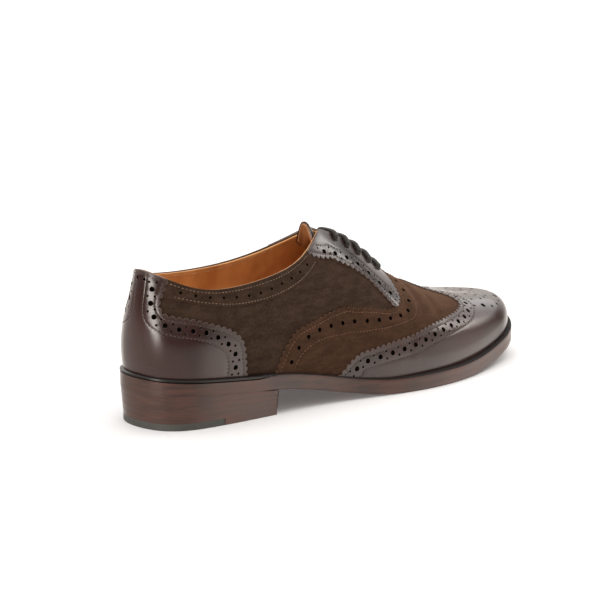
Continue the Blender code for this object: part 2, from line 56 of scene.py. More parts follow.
# %% The last's driving dimensions and sections
LENGTH = 0.300
BALL_WIDTH = 0.096
INSTEP = 0.097
SOLE = 0.0055
WELT = 0.004
HEEL_BACK = 0.0222
HEEL_FRONT = 0.015
BREAST = 0.079
TREAD_FROM = 0.170
TREAD_TO = 0.212
TOE_SPRING = 0.0125
SPRING_CURVE = 1.7
TOP_PIECE = 0.004
GAP = 0.0003
WALL = 0.0020
LAP = 24
TOE = 12
THROAT_TOP = 5
THROAT_FOOT = 7
RIDGE_BLEND = 1.5
RIDGE_FROM = 0.999
COLUMNS = (
    "along", "across", "welt", "top_along", "top_across", "top_up",
    "foot_out", "foot_up", "top_out", "top_down",
)
LATERAL = {
    "heel_back": (0.013, 0.000, 0.031, 0.028, 0.000, 0.938, 0.031, 0.247, 0.036, 0.237),
    "heel_round": (0.037, -0.219, 0.031, 0.052, -0.149, 0.892, 0.037, 0.237, 0.046, 0.227),
    "heel_side": (0.120, -0.313, 0.031, 0.123, -0.266, 0.818, 0.045, 0.216, 0.036, 0.206),
    "seat_front": (0.250, -0.349, 0.031, 0.247, -0.281, 0.823, 0.046, 0.216, 0.052, 0.186),
    "waist": (0.360, -0.370, 0.031, 0.367, -0.214, 0.881, 0.052, 0.278, 0.093, 0.206),
    "throat_top": (0.450, -0.406, 0.036, 0.468, -0.045, 1.000, 0.046, 0.351, 0.155, 0.155),
    "throat_mid": (0.533, -0.458, 0.047, 0.558, -0.030, 0.866, 0.041, 0.340, 0.186, 0.124),
    "throat_foot": (0.607, -0.493, 0.057, 0.640, 0.000, 0.675, 0.036, 0.289, 0.216, 0.072),
    "ball": (0.680, -0.495, 0.062, 0.697, 0.010, 0.570, 0.033, 0.232, 0.258, 0.021),
    "fore": (0.767, -0.453, 0.062, 0.760, 0.031, 0.480, 0.031, 0.205, 0.280, -0.005),
    "toe_side": (0.855, -0.376, 0.052, 0.817, 0.047, 0.424, 0.033, 0.192, 0.275, -0.010),
    "toe_round": (0.9435, -0.2255, 0.050, 0.853, 0.052, 0.398, 0.031, 0.185, 0.260, -0.010),
    "toe_tip": (0.991, 0.052, 0.050, 0.867, 0.052, 0.388, 0.026, 0.180, 0.250, -0.010),
}
MEDIAL = {
    "heel_round": (0.037, 0.214, 0.031, 0.052, 0.149, 0.905, 0.037, 0.237, 0.046, 0.227),
    "heel_side": (0.120, 0.313, 0.031, 0.123, 0.266, 0.835, 0.045, 0.216, 0.036, 0.206),
    "seat_front": (0.250, 0.302, 0.026, 0.247, 0.276, 0.812, 0.055, 0.216, 0.052, 0.186),
    "waist": (0.367, 0.281, 0.021, 0.367, 0.214, 0.860, 0.075, 0.278, 0.093, 0.206),
    "throat_top": (0.467, 0.297, 0.021, 0.468, 0.045, 1.000, 0.080, 0.351, 0.155, 0.155),
    "throat_mid": (0.560, 0.365, 0.031, 0.558, 0.030, 0.866, 0.060, 0.340, 0.186, 0.124),
    "throat_foot": (0.633, 0.443, 0.047, 0.640, 0.000, 0.675, 0.040, 0.289, 0.216, 0.072),
    "ball": (0.713, 0.495, 0.057, 0.697, 0.010, 0.570, 0.033, 0.232, 0.258, 0.021),
    "fore": (0.800, 0.484, 0.062, 0.760, 0.031, 0.480, 0.031, 0.205, 0.280, -0.005),
    "toe_side": (0.882, 0.430, 0.052, 0.817, 0.047, 0.424, 0.033, 0.192, 0.275, -0.010),
    "toe_round": (0.9505, 0.2775, 0.050, 0.853, 0.052, 0.398, 0.031, 0.185, 0.260, -0.010),
}
UNITS = dict.fromkeys(COLUMNS, INSTEP)
UNITS.update(dict.fromkeys(("along", "top_along"), LENGTH))
UNITS.update(dict.fromkeys(("across", "top_across", "welt"), BALL_WIDTH))
SECTIONS = np.array(list(LATERAL.values()) + list(MEDIAL.values())[::-1]) * list(UNITS.values())
print("sections of the last:", len(SECTIONS))


# %% The last's surface
def unit(vectors):
    """Vectors scaled to length 1."""
    return vectors / np.linalg.norm(vectors, axis=-1, keepdims=True)


def eased(share):
    """A share from 0 to 1 that leaves and arrives slowly."""
    return share**2 * (3 - 2 * share)


def from_heel(station):
    """Stations counted from the heel's back on either side."""
    lap = np.mod(station, LAP)
    return np.minimum(lap, LAP - lap)


def spline(rows, at):
    """Natural cubic spline through rows that stand at 0, 1, 2 and so on, read at the places in at."""
    rows = np.asarray(rows, float)
    count = len(rows)
    system = 4 * np.eye(count) + np.eye(count, k=1) + np.eye(count, k=-1)
    system[0] = system[-1] = 0
    system[0, 0] = system[-1, -1] = 1
    bend = np.zeros_like(rows)
    bend[1:-1] = 6 * (rows[2:] - 2 * rows[1:-1] + rows[:-2])
    bend = np.linalg.solve(system, bend)
    first = np.clip(np.floor(at).astype(int), 0, count - 2)
    part = (at - first)[..., None]
    start, end = rows[first], rows[first + 1]
    sag = (2 - part) * bend[first] + (1 + part) * bend[first + 1]
    return start + (end - start) * part - part * (1 - part) / 6 * sag


def columns(first, last):
    """The section columns from one name to another."""
    return SECTIONS[:, COLUMNS.index(first):COLUMNS.index(last) + 1]


def around(first, last, station):
    """A closed spline through those columns of all sections, read at stations."""
    return spline(np.concatenate([columns(first, last)] * 3), np.mod(station, LAP) + LAP)


def sole_under(x):
    """Height of the sole's underside: heel seat, arch, flat tread and toe spring."""
    slope = (HEEL_BACK - HEEL_FRONT) / BREAST
    seat = HEEL_FRONT + (BREAST - x) * slope
    rise = np.clip((TREAD_FROM - x) / (TREAD_FROM - BREAST), 0, 1)
    arch = HEEL_FRONT * eased(rise) + slope * (TREAD_FROM - BREAST) * rise**2 * (rise - 1)
    spring = np.clip((x - TREAD_TO) / (LENGTH - TREAD_TO), 0, None)
    return np.where(x < BREAST, seat, arch) + TOE_SPRING * spring**SPRING_CURVE


def on_welt(plan):
    """Points of a plan set at the height where the upper and the insole meet the welt."""
    height = sole_under(plan[..., 0]) + SOLE + WELT + GAP
    return np.concatenate([plan, height[..., None]], axis=-1)


def feather(station):
    """The line where the upper meets the welt."""
    return on_welt(around("along", "across", station))


def sole_outline(station, inset=0.0):
    """Plan of the sole's edge, or of a line that lies inside it."""
    step = 0.01
    run = around("along", "across", station + step) - around("along", "across", station - step)
    out = unit(np.stack([run[..., 1], -run[..., 0]], axis=-1))
    margin = around("welt", "welt", station) - np.asarray(inset)[..., None]
    return around("along", "across", station) + out * margin


def crest(station):
    """Where the sections end: the collar, a corner at the throat's top, the facings and the ridge."""
    ends = columns("top_along", "top_up")
    lap = np.mod(station, LAP)
    front = ends[THROAT_TOP:LAP - THROAT_TOP + 1]
    back = np.concatenate([ends[LAP - THROAT_TOP:], ends[:THROAT_TOP + 1]])
    throat = spline(front, np.clip(lap - THROAT_TOP, 0, len(front) - 1))
    other = spline(front, np.clip(LAP - lap - THROAT_TOP, 0, len(front) - 1))
    collar = spline(back, np.clip(np.mod(lap + THROAT_TOP, LAP), 0, len(back) - 1))
    place = from_heel(station)[..., None]
    throat = np.where(place >= THROAT_FOOT, (throat + other) / 2, throat)
    return np.where(place < THROAT_TOP, collar, throat)


def ridge_slope(station):
    """Fall of the ridge for each metre forward, blended in from the middle of the throat."""
    step = 0.02
    place = from_heel(station)
    ahead, behind = crest(place), crest(np.maximum(place - step, THROAT_TOP))
    run = np.maximum(ahead[..., 0] - behind[..., 0], 1e-6)
    blend = np.clip((place - THROAT_FOOT + 1) / RIDGE_BLEND, 0, 1)
    return (ahead[..., 2] - behind[..., 2]) / run * eased(blend)


def last_surface(station, height):
    """Points of the upper's outer face: one Bezier curve a section, from the welt to its crest."""
    foot, top = feather(station), crest(station)
    full = around("foot_out", "top_down", station)
    out = unit((foot - top) * [1, 1, 0])
    up = np.array([0, 0, 1.0])
    low = foot + out * full[..., 0:1] + up * full[..., 1:2]
    fall = ridge_slope(station) * out[..., 0] * full[..., 2] - full[..., 3]
    high = top + out * full[..., 2:3] + up * fall[..., None]
    t = np.asarray(height)[..., None]
    return (1 - t)**3 * foot + 3 * t * (1 - t)**2 * low + 3 * t**2 * (1 - t) * high + t**3 * top


def face_out(station, height):
    """Directions out of the upper's face. The two sides share one direction on the ridge."""
    def one_side(at):
        step = 0.002
        below = np.minimum(height, 1 - step)
        along = last_surface(at + step, below) - last_surface(at - step, below)
        rise = last_surface(at, below + step) - last_surface(at, below - step)
        return unit(np.cross(along, rise))

    out = one_side(station)
    on_ridge = (height > RIDGE_FROM) & (from_heel(station) >= THROAT_FOOT)
    both = out + one_side(LAP - station)
    both /= np.maximum(np.linalg.norm(both, axis=-1, keepdims=True), 1e-9)
    return np.where(on_ridge[..., None], both, out)


print("top of the throat:", crest(np.array([float(THROAT_TOP)]))[0].round(4))

# %% [markdown]
# ## Creases
# Leather that has been pulled over a last and taken off it again is never quite even. A few soft
# troughs with low ridges beside them, placed where a foot bends the shoe, are added to the
# last itself, so that panels, holes and stitches all follow them.

# %% Creases and the way onto the shoe
# Metres on the bench for one station and for the whole height.
PATTERN = np.array([0.026, 0.060])
CREASE_LIP = 1.5
# Station, height, turn in degrees, length, width and depth of each crease.
CREASES = (
    (7.75, 0.80, 78, 0.017, 0.0045, 0.00045),
    (8.30, 0.62, 70, 0.013, 0.0050, 0.00035),
    (6.90, 0.36, 62, 0.012, 0.0050, 0.00030),
    (3.55, 0.60, 24, 0.016, 0.0060, 0.00045),
    (4.20, 0.66, 38, 0.014, 0.0055, 0.00035),
    (2.75, 0.55, 8, 0.012, 0.0060, 0.00035),
)
OUTLINE_READS = 961


def creased(station, height):
    """How far the creases move the surface out or in."""
    moved = np.zeros(np.broadcast(station, height).shape)
    for at, up, turn, length, width, depth in CREASES:
        run = (from_heel(station) - at) * PATTERN[0]
        rise = (height - up) * PATTERN[1]
        turn = math.radians(turn)
        along = (run * math.cos(turn) + rise * math.sin(turn)) / length
        across = (rise * math.cos(turn) - run * math.sin(turn)) / width
        moved = moved - depth * np.exp(-along**2 - across**2) * (1 - CREASE_LIP * across**2)
    return moved


def middle_of_sole():
    """Plan centre of the sole's box, which is the shoe's origin."""
    edge = sole_outline(np.linspace(0, LAP, OUTLINE_READS))
    return np.append((edge.min(axis=0) + edge.max(axis=0)) / 2, 0.0)


CENTRE = middle_of_sole()


def skin(station, height, lift=0.0):
    """Points on the shoe's upper, or lifted off it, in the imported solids' frame."""
    station, height = np.broadcast_arrays(np.asarray(station, float), np.asarray(height, float))
    raised = np.asarray(lift) + creased(station, height)
    return last_surface(station, height) + face_out(station, height) * raised[..., None] - CENTRE


print("origin on the last:", CENTRE.round(4))

# %% [markdown]
# ## Flat patterns
# A shoemaker cuts panels flat. Laying a stretch of the last flat gives the same bench to work on:
# edges, hole rows and seams are drawn there in real millimetres and then read back onto the shoe.
# The rear half unrolls around the heel. The forepart opens like a fan along its ridge, so that the
# vamp and the cap are each cut in one piece across it.

# %% Flat patterns
NEIGHBOURS = 10
NEAREST_WEIGHT = 2e-4
BENCH_STEP = 0.04
BENCH_ROWS = 66
BENCH_FOOT = -0.03
GIRTH_READS = 17
REAR_ENDS = 8
FORE_FROM = 2.9


class FlatPattern:
    """A stretch of the upper laid flat, and the way back onto the shoe."""

    def __init__(self, low, high, lay_flat):
        stations = np.arange(low, high, BENCH_STEP)
        heights = np.linspace(BENCH_FOOT, 1, BENCH_ROWS)
        station, height = (values.ravel() for values in np.meshgrid(stations, heights))
        self.lay_flat = lay_flat
        self.bench = lay_flat(np.column_stack([station, height]))
        self.values = np.column_stack([skin(station, height), face_out(station, height)])
        self.tree = tree_of(self.bench)
        self.coarse = self.bench.reshape(BENCH_ROWS, -1, 2)[::2, ::2].reshape(-1, 2)

    def flat(self, places):
        """Stations and heights as points on the bench."""
        return self.lay_flat(np.asarray(places, float))

    def read(self, flat):
        """Points on the shoe, directions out of it, and how the bench is stretched there."""
        near = [[hit[1] for hit in self.tree.find_n((x, y, 0), NEIGHBOURS)] for x, y in flat]
        offset = self.bench[near] - flat[:, None]
        design = np.concatenate([np.ones_like(offset[..., :1]), offset], axis=2)
        weight = 1 / (np.linalg.norm(offset, axis=2) + NEAREST_WEIGHT)**2
        turned = np.swapaxes(design * weight[..., None], 1, 2)
        system = turned @ design + 1e-9 * np.eye(3)
        fit = np.linalg.solve(system, turned @ self.values[near])
        slope = fit[:, 1:, :3]
        return fit[:, 0, :3], unit(fit[:, 0, 3:]), slope @ np.swapaxes(slope, 1, 2)


def tree_of(points):
    """A search tree of points on the bench or in space."""
    tree = kdtree.KDTree(len(points))
    for index, point in enumerate(points):
        tree.insert(Vector(point).to_3d(), index)
    tree.balance()
    return tree


def unroll(places):
    """The rear of the upper: a station is as long as at the heel's side."""
    return places * PATTERN


def unfold(places):
    """The forepart: each section is laid out from the ridge at its true length."""
    station, height = places.T
    steps = height[:, None] + (1 - height[:, None]) * np.linspace(0, 1, GIRTH_READS)
    path = last_surface(np.broadcast_to(station[:, None], steps.shape), steps)
    girth = np.linalg.norm(np.diff(path, axis=1), axis=2).sum(axis=1)
    girth *= np.where(height > 1, -1, 1)
    top, foot = crest(station)[:, :2], feather(station)[:, :2]
    return top + unit(foot - top) * girth[:, None]


REAR = FlatPattern(-REAR_ENDS, REAR_ENDS, unroll)
FORE = FlatPattern(FORE_FROM, LAP - FORE_FROM, unfold)
print("bench points:", len(REAR.bench), len(FORE.bench))

# %% Drawing on the bench
GIMP_PITCH = 0.0040
GIMP_DEPTH = 0.0015
GIMP_POINTS = 6
DRAWN_READS = 30


def drawn(table):
    """A smooth curve through a table of stations and heights."""
    table = np.array(table, float)
    return spline(table, np.linspace(0, len(table) - 1, DRAWN_READS * len(table)))


def other_side(places):
    """The same places on the inner side of the shoe."""
    return np.asarray(places) * [-1, 1] + [LAP, 0]


def travelled(points):
    """How far each point of a line lies from its start, along the line."""
    return np.concatenate([[0], np.cumsum(np.linalg.norm(np.diff(points, axis=0), axis=1))])


def along_line(line, gone, at):
    """A line read at distances from its start."""
    return np.column_stack([np.interp(at, gone, values) for values in line.T])


def spaced(pattern, line, step, whole=1):
    """A line on the bench read about every step along the shoe, in a multiple of whole steps."""
    gone = travelled(pattern.read(line)[0])
    count = max(1, round(gone[-1] / step / whole)) * whole
    return along_line(line, gone, np.linspace(0, 1, count + 1) * gone[-1])


def beside(pattern, line, distance, closed=False):
    """A line moved to its left by a distance on the shoe."""
    stretch = pattern.read(line)[2]
    run = np.gradient(line, axis=0)
    if closed:
        run = np.roll(line, -1, axis=0) - np.roll(line, 1, axis=0)
    pulled = np.einsum("nij,nj->ni", stretch, run)
    left = np.column_stack([-pulled[:, 1], pulled[:, 0]])
    size = np.sqrt(np.einsum("ni,nij,nj->n", left, stretch, left))
    return line + left / np.maximum(size, 1e-12)[:, None] * np.asarray(distance).reshape(-1, 1)


def gimped(pattern, line, side):
    """An edge cut into small scallops that stand out to its left (1) or right (-1)."""
    line = spaced(pattern, line, GIMP_PITCH / GIMP_POINTS, GIMP_POINTS)
    turn = np.arange(len(line)) / GIMP_POINTS * math.pi
    return beside(pattern, line, side * GIMP_DEPTH * (np.abs(np.sin(turn)) - 0.5))


def circle(pattern, centre, radius, points):
    """A round hole's rim on the bench, run clockwise."""
    stretch = pattern.read(np.array([centre]))[2][0]
    size, axes = np.linalg.eigh(stretch)
    turn = -2 * math.pi * (np.arange(points) + 0.5) / points
    ring = radius * np.column_stack([np.cos(turn), np.sin(turn)])
    rim = (ring / np.sqrt(np.maximum(size, 1e-9))) @ axes.T
    if np.linalg.det(axes) < 0:
        rim = rim[::-1]
    return centre + rim


def signed_area(loop):
    """Twice the area of a loop on the bench, positive when it runs counter-clockwise."""
    ahead = np.roll(loop, -1, axis=0)
    return (loop[:, 0] * ahead[:, 1] - ahead[:, 0] * loop[:, 1]).sum()


def within(points, loop):
    """Which bench points lie in a loop."""
    ahead = np.roll(loop, -1, axis=0)
    y = points[:, 1:]
    crosses = (loop[:, 1] > y) != (ahead[:, 1] > y)
    run, rise = (ahead - loop).T
    meets = loop[:, 0] + (y - loop[:, 1]) / np.where(rise == 0, 1, rise) * run
    return (crosses & (points[:, :1] < meets)).sum(axis=1) % 2 == 1


print("scallops are", GIMP_PITCH, "apart and", GIMP_DEPTH, "deep")

# %% [markdown]
# ## Cutting a panel
# A panel is a solid: a top face with real punched holes, an edge whose upper corner is slightly
# rounded, and an underside. Boolean cuts on hundreds of holes would be slow and ragged, so the face
# is triangulated on the bench around its holes, and each rim is then carried down as a wall.
# Two attributes go with the mesh: cut is 1 on cut edges and in holes, rim falls off from the edge.

# %% Mesh helpers
def select_only(made):
    """Make one object the selected and active one."""
    bpy.ops.object.select_all(action="DESELECT")
    made.select_set(True)
    bpy.context.view_layer.objects.active = made


@contextlib.contextmanager
def edit_mode(made):
    """Edit mode on one object, with all of its mesh selected."""
    select_only(made)
    bpy.ops.object.mode_set(mode="EDIT")
    bpy.ops.mesh.select_all(action="SELECT")
    yield
    bpy.ops.object.mode_set(mode="OBJECT")


def smoothed(made, angle):
    """Shade an object smooth where its faces meet below an angle."""
    select_only(made)
    bpy.ops.object.shade_smooth_by_angle(angle=math.radians(angle))
    return made


def mesh_piece(name, points, faces, attributes=None, smooth=50):
    """A mesh object with its place in its mesh, shaded smooth below an angle."""
    mesh = bpy.data.meshes.new(name)
    mesh.from_pydata([tuple(p) for p in points], [], [tuple(f) for f in faces])
    for label, values in (attributes or {}).items():
        stored = mesh.attributes.new(label, "FLOAT", "POINT")
        stored.data.foreach_set("value", np.asarray(values, np.float32))
    mesh.update()
    made = bpy.data.objects.new(name, mesh)
    bpy.context.scene.collection.objects.link(made)
    return smoothed(made, smooth)


def quads(rows, wide, closed=False):
    """Faces of a grid of points, row after row, whose rows may close round."""
    faces = []
    for i in range(rows - 1):
        for j in range(wide if closed else wide - 1):
            k = (j + 1) % wide
            faces.append([i * wide + j, i * wide + k, (i + 1) * wide + k, (i + 1) * wide + j])
    return faces


def nearest(points, others):
    """How far each point is from the nearest of some others, on the bench or in space."""
    tree = tree_of(others)
    return np.array([tree.find(Vector(point).to_3d())[2] for point in points])


# %% Cutting a panel
EDGE_ROUND = 0.00028
HOLE_ROUND = 0.00016
LARGE_HOLE = 0.001
LARGE_SIDES, SMALL_SIDES = 14, 9
RIM_REACH = 0.006
SEAM_DEPTH = 0.00014
SEAM_REACH = 0.0005
SEAM_STEP = 0.0009
SEAM_ROWS = (-1.7, -0.8, 0.0, 0.8, 1.7)
CLEAR_OF_SEAM = 0.0008
CLEAR_OF_RIM = 0.0005
CLEAR_UNDERNEATH = 0.0012
EVERY_UNDERNEATH = 3
AROUND_HOLE = 0.006
PANEL_SMOOTH = 30


def along_seams(pattern, seams):
    """Bench points in rows along seams, which shape the grooves that the threads pull."""
    rows = []
    for line in seams:
        fine = spaced(pattern, line, SEAM_STEP)
        rows += [beside(pattern, fine, share * SEAM_REACH) for share in SEAM_ROWS]
    return np.concatenate(rows)


def pulled_in(pattern, seams, points):
    """How far the threads of the seams pull a face in at some points."""
    if not seams:
        return np.zeros(len(points))
    threads = [pattern.read(spaced(pattern, line, SEAM_STEP / 2))[0] for line in seams]
    return SEAM_DEPTH * np.exp(-(nearest(points, np.concatenate(threads)) / SEAM_REACH)**2)


def triangulated(loops, spare):
    """Triangles inside a loop, around the holes after it: points, faces, and where each input went."""
    points = np.concatenate(loops + [spare])
    edges, start = [], 0
    for loop in loops:
        edges += [(start + i, start + (i + 1) % len(loop)) for i in range(len(loop))]
        start += len(loop)
    cut = delaunay_2d_cdt([Vector(p) for p in points], edges, [], 1, 1e-8)
    went = np.zeros(len(points), int)
    for index, origins in enumerate(cut[3]):
        went[origins] = index
    hole = np.zeros(len(cut[0]), int)
    hole[went[:start]] = np.repeat(np.arange(len(loops)), [len(loop) for loop in loops])
    faces = [face for face in cut[2] if hole[face[0]] == 0 or len({hole[i] for i in face}) > 1]
    return np.array([p[:] for p in cut[0]]), [list(face) for face in faces], went


def inner_points(pattern, loops, seams):
    """Bench points that fill a face inside its outline and around its holes."""
    spare = pattern.coarse[within(pattern.coarse, loops[0])]
    if seams:
        grooves = along_seams(pattern, seams)
        spare = spare[nearest(spare, grooves) > CLEAR_OF_SEAM]
        spare = np.concatenate([spare, grooves[within(grooves, loops[0])]])
    for hole in loops[1:]:
        near = np.abs(spare - hole.mean(axis=0)).max(axis=1) < AROUND_HOLE
        spare = spare[~(near & within(spare, hole))]
    return spare[nearest(spare, np.concatenate(loops)) > CLEAR_OF_RIM]


def wall(upper, lower):
    """Faces between two rings that have as many points."""
    return np.column_stack([lower, np.roll(lower, -1), np.roll(upper, -1), upper]).tolist()


def cut_panel(name, pattern, outline, lifts, holes=(), seams=()):
    """A panel on the shoe: its outline, the lifts of underside, hole floors and top, holes and seams."""
    low, pit, high = lifts
    if signed_area(outline) < 0:
        outline = outline[::-1]
    tops, rims = [beside(pattern, outline, EDGE_ROUND, closed=True)], [outline]
    for centre, radius in holes:
        sides = LARGE_SIDES if radius > LARGE_HOLE else SMALL_SIDES
        tops.append(circle(pattern, centre, radius + HOLE_ROUND, sides))
        rims.append(circle(pattern, centre, radius, sides))
    spare = inner_points(pattern, tops, seams)
    bench, faces, went = triangulated(tops, spare)
    points, out, _ = pattern.read(bench)
    verts = [points + out * (high - pulled_in(pattern, seams, points))[:, None]]
    cut, rim = [np.zeros(len(bench))], [np.exp(-nearest(bench, outline) / RIM_REACH)]
    count, start = len(bench), 0
    pit_faces = []
    for number, (top, edge) in enumerate(zip(tops, rims)):
        size = len(top)
        upper = went[start:start + size]
        middle = count + np.arange(size)
        bottom = middle + size
        start += size
        count += 2 * size
        at, up, _ = pattern.read(edge)
        rounding, depth = (HOLE_ROUND, pit) if number else (EDGE_ROUND, low)
        verts += [at + up * (high - rounding), at + up * depth]
        cut += [np.full(size, 0.5), np.ones(size)]
        rim.append(np.ones(2 * size))
        faces += wall(upper, middle)
        if number:
            pit_faces += range(len(faces), len(faces) + size + 1)
            faces += wall(middle, bottom) + [list(bottom[::-1])]
        else:
            faces += wall(middle, bottom)
            lower_ring = bottom
    under = spare[::EVERY_UNDERNEATH]
    under = under[nearest(under, outline) > CLEAR_UNDERNEATH]
    bench, below, went = triangulated([outline], under)
    points, out, _ = pattern.read(bench)
    index = count + np.arange(len(bench))
    index[went[:len(outline)]] = lower_ring
    verts.append(points + out * low)
    cut.append(np.ones(len(bench)))
    rim.append(np.ones(len(bench)))
    faces += [[index[i] for i in face[::-1]] for face in below]
    marks = {"cut": np.concatenate(cut), "rim": np.concatenate(rim)}
    made = mesh_piece(name, np.concatenate(verts), faces, marks, PANEL_SMOOTH)
    for index in pit_faces:
        made.data.polygons[index].material_index = 1
    with edit_mode(made):
        bpy.ops.mesh.delete_loose(use_verts=True, use_edges=True, use_faces=False)
    print(name, "faces", len(made.data.polygons), "holes", len(holes))
    return made


# %% [markdown]
# ## Rows of holes and seams
# Brogue holes are punched in rows: a large hole, then a pair of small ones side by side, and so on.
# A seam is a row of short raised stitches. One stitch is modelled, and its copies are joined into
# one mesh for each thread.

# %% Rows of holes
SMALL_HOLE = 0.00068
HOLE_GAP = 0.0006
HOLE_MARGIN = 0.0006
MARGIN_SIDES = 10
PAIR_APART = 0.0022


def hole_row(pattern, line, size, pitch, pairs=True):
    """Large holes along a line, with a pair of small ones between each two and at the ends."""
    row = spaced(pattern, line, pitch / 2, 2)
    holes = [(centre, size) for centre in row[1::2]]
    if pairs:
        for side in (-1, 1):
            small = beside(pattern, row, side * PAIR_APART)
            holes += [(centre, SMALL_HOLE) for centre in small[::2]]
    return holes


def inside_only(pattern, outline, holes, margin=HOLE_MARGIN):
    """The holes that lie wholly inside an outline and clear of those before them."""
    places = pattern.read(np.array([centre for centre, _ in holes]))[0]
    kept = []
    for number, (centre, radius) in enumerate(holes):
        rim = circle(pattern, centre, radius + margin, MARGIN_SIDES)
        gaps = [np.linalg.norm(places[number] - places[k]) - radius - holes[k][1] for k in kept]
        if within(rim, outline).all() and min(gaps, default=1.0) > HOLE_GAP:
            kept.append(number)
    return [holes[number] for number in kept]


# %% One stitch and seams
STITCH_PITCH = 0.0023
STITCH_SIZE = (0.00145, 0.00060, 0.00050)
STITCH_SUNK = 0.00004
STITCH_BLUNT = 0.6


def one_stitch():
    """A short thread with rounded ends, as arrays."""
    along_x = (0, math.pi / 2, 0)
    bpy.ops.mesh.primitive_uv_sphere_add(segments=8, ring_count=5, radius=0.5, rotation=along_x)
    made = bpy.context.object
    bpy.ops.object.transform_apply(location=True, rotation=True, scale=True)
    points = np.array([vert.co for vert in made.data.vertices])
    faces = [list(face.vertices) for face in made.data.polygons]
    points[:, 0] = np.sign(points[:, 0]) * np.abs(points[:, 0] * 2)**STITCH_BLUNT / 2
    bpy.data.objects.remove(made, do_unlink=True)
    return points, faces


STITCH_POINTS, STITCH_FACES = one_stitch()
print("points of a stitch:", len(STITCH_POINTS))


def sew(name, seams):
    """Rows of stitches joined in one mesh. A seam is a pattern, a line on its bench and a lift."""
    verts, faces = [], []
    for pattern, line, lift in seams:
        points, out, _ = pattern.read(spaced(pattern, line, STITCH_PITCH / 4, 4))
        run = unit(np.gradient(points, axis=0)[2::4])
        points, out = points[2::4] + out[2::4] * lift, out[2::4]
        for at, axes in zip(points, np.stack([run, np.cross(out, run), out], axis=1)):
            start = len(verts) * len(STITCH_POINTS)
            verts.append(at + (STITCH_POINTS * STITCH_SIZE) @ axes)
            faces += [[start + i for i in face] for face in STITCH_FACES]
    print(name, "stitches", len(verts))
    return mesh_piece(name, np.concatenate(verts), faces)


# %% [markdown]
# ## Finishes
# Effects that several finishes share are node groups: a mottled mask, leather grain and suede nap.
# Gloss stays on each shader's own sockets. Colours were judged against the photo.

# %% Node helpers
MIX_SOCKETS = (0, 6, 7)


def feed(tree, socket, value):
    """Set a socket to a plain value, or link it to another node's socket."""
    if isinstance(value, bpy.types.NodeSocket):
        tree.links.new(value, socket)
    else:
        socket.default_value = value


def feed_all(tree, made, **inputs):
    """Feed a node's inputs by name."""
    for key, value in inputs.items():
        feed(tree, made.inputs[key.replace("_", " ")], value)


def node(tree, kind, settings=None, **inputs):
    """A node with its settings and its inputs."""
    made = tree.nodes.new(kind)
    for key, value in (settings or {}).items():
        setattr(made, key, value)
    feed_all(tree, made, **inputs)
    return made


def maths(tree, operation, *values):
    """A Math node's result."""
    made = node(tree, "ShaderNodeMath", {"operation": operation})
    for socket, value in zip(made.inputs, values):
        feed(tree, socket, value)
    return made.outputs[0]


def total(tree, start, *terms):
    """A number plus some values, each times its weight."""
    for value, weight in terms:
        start = maths(tree, "MULTIPLY_ADD", value, weight, start)
    return start


def mixed(tree, share, *colours):
    """A colour mixed from two."""
    made = node(tree, "ShaderNodeMix", {"data_type": "RGBA"})
    colours = [(*colour, 1.0) if isinstance(colour, tuple) else colour for colour in colours]
    for index, value in zip(MIX_SOCKETS, [share] + colours):
        feed(tree, made.inputs[index], value)
    return made.outputs[2]


def ramped(tree, value, low, high):
    """A value's smooth rise from 0 at low to 1 at high."""
    smooth = {"interpolation_type": "SMOOTHSTEP"}
    made = node(tree, "ShaderNodeMapRange", smooth, Value=value, From_Min=low, From_Max=high)
    return made.outputs["Result"]


def attribute(tree, name):
    """A number stored on the mesh."""
    return node(tree, "ShaderNodeAttribute", {"attribute_name": name}).outputs["Fac"]


def on_object(tree, scale=None):
    """Places on the object, which a scale may squeeze along its axes."""
    place = node(tree, "ShaderNodeTexCoord").outputs["Object"]
    if scale is None:
        return place
    return node(tree, "ShaderNodeMapping", Vector=place, Scale=scale).outputs[0]


def noise(tree, place, scale, detail, roughness=0.5):
    """Cloudy noise from 0 to 1."""
    made = node(tree, "ShaderNodeTexNoise", Vector=place, Scale=scale, Detail=detail)
    feed_all(tree, made, Roughness=roughness)
    return made.outputs["Fac"]


def new_group(name, inputs, outputs):
    """An empty node group with number inputs and outputs, and its two ends."""
    group = bpy.data.node_groups.new(name, "ShaderNodeTree")
    for label, value in inputs.items():
        socket = group.interface.new_socket(label, in_out="INPUT", socket_type="NodeSocketFloat")
        socket.default_value = value
    for label in outputs:
        group.interface.new_socket(label, in_out="OUTPUT", socket_type="NodeSocketFloat")
    return group, group.nodes.new("NodeGroupInput").outputs, group.nodes.new("NodeGroupOutput")


def use_group(tree, group, **inputs):
    """The outputs of a node group placed in a material."""
    return node(tree, "ShaderNodeGroup", {"node_tree": group}, **inputs).outputs


# %% Shared effects
def mottle_group():
    """Soft patches, as of dye rubbed in by hand: Scale in patches a metre."""
    group, given, end = new_group("mottle", {"Scale": 40.0, "Streak": 1.0}, ["Mask"])
    stretch = node(group, "ShaderNodeCombineXYZ", X=1.0, Y=1.0, Z=given["Streak"]).outputs[0]
    cloud = noise(group, on_object(group, stretch), given["Scale"], 3.0)
    feed_all(group, end, Mask=ramped(group, cloud, 0.28, 0.72))
    return group


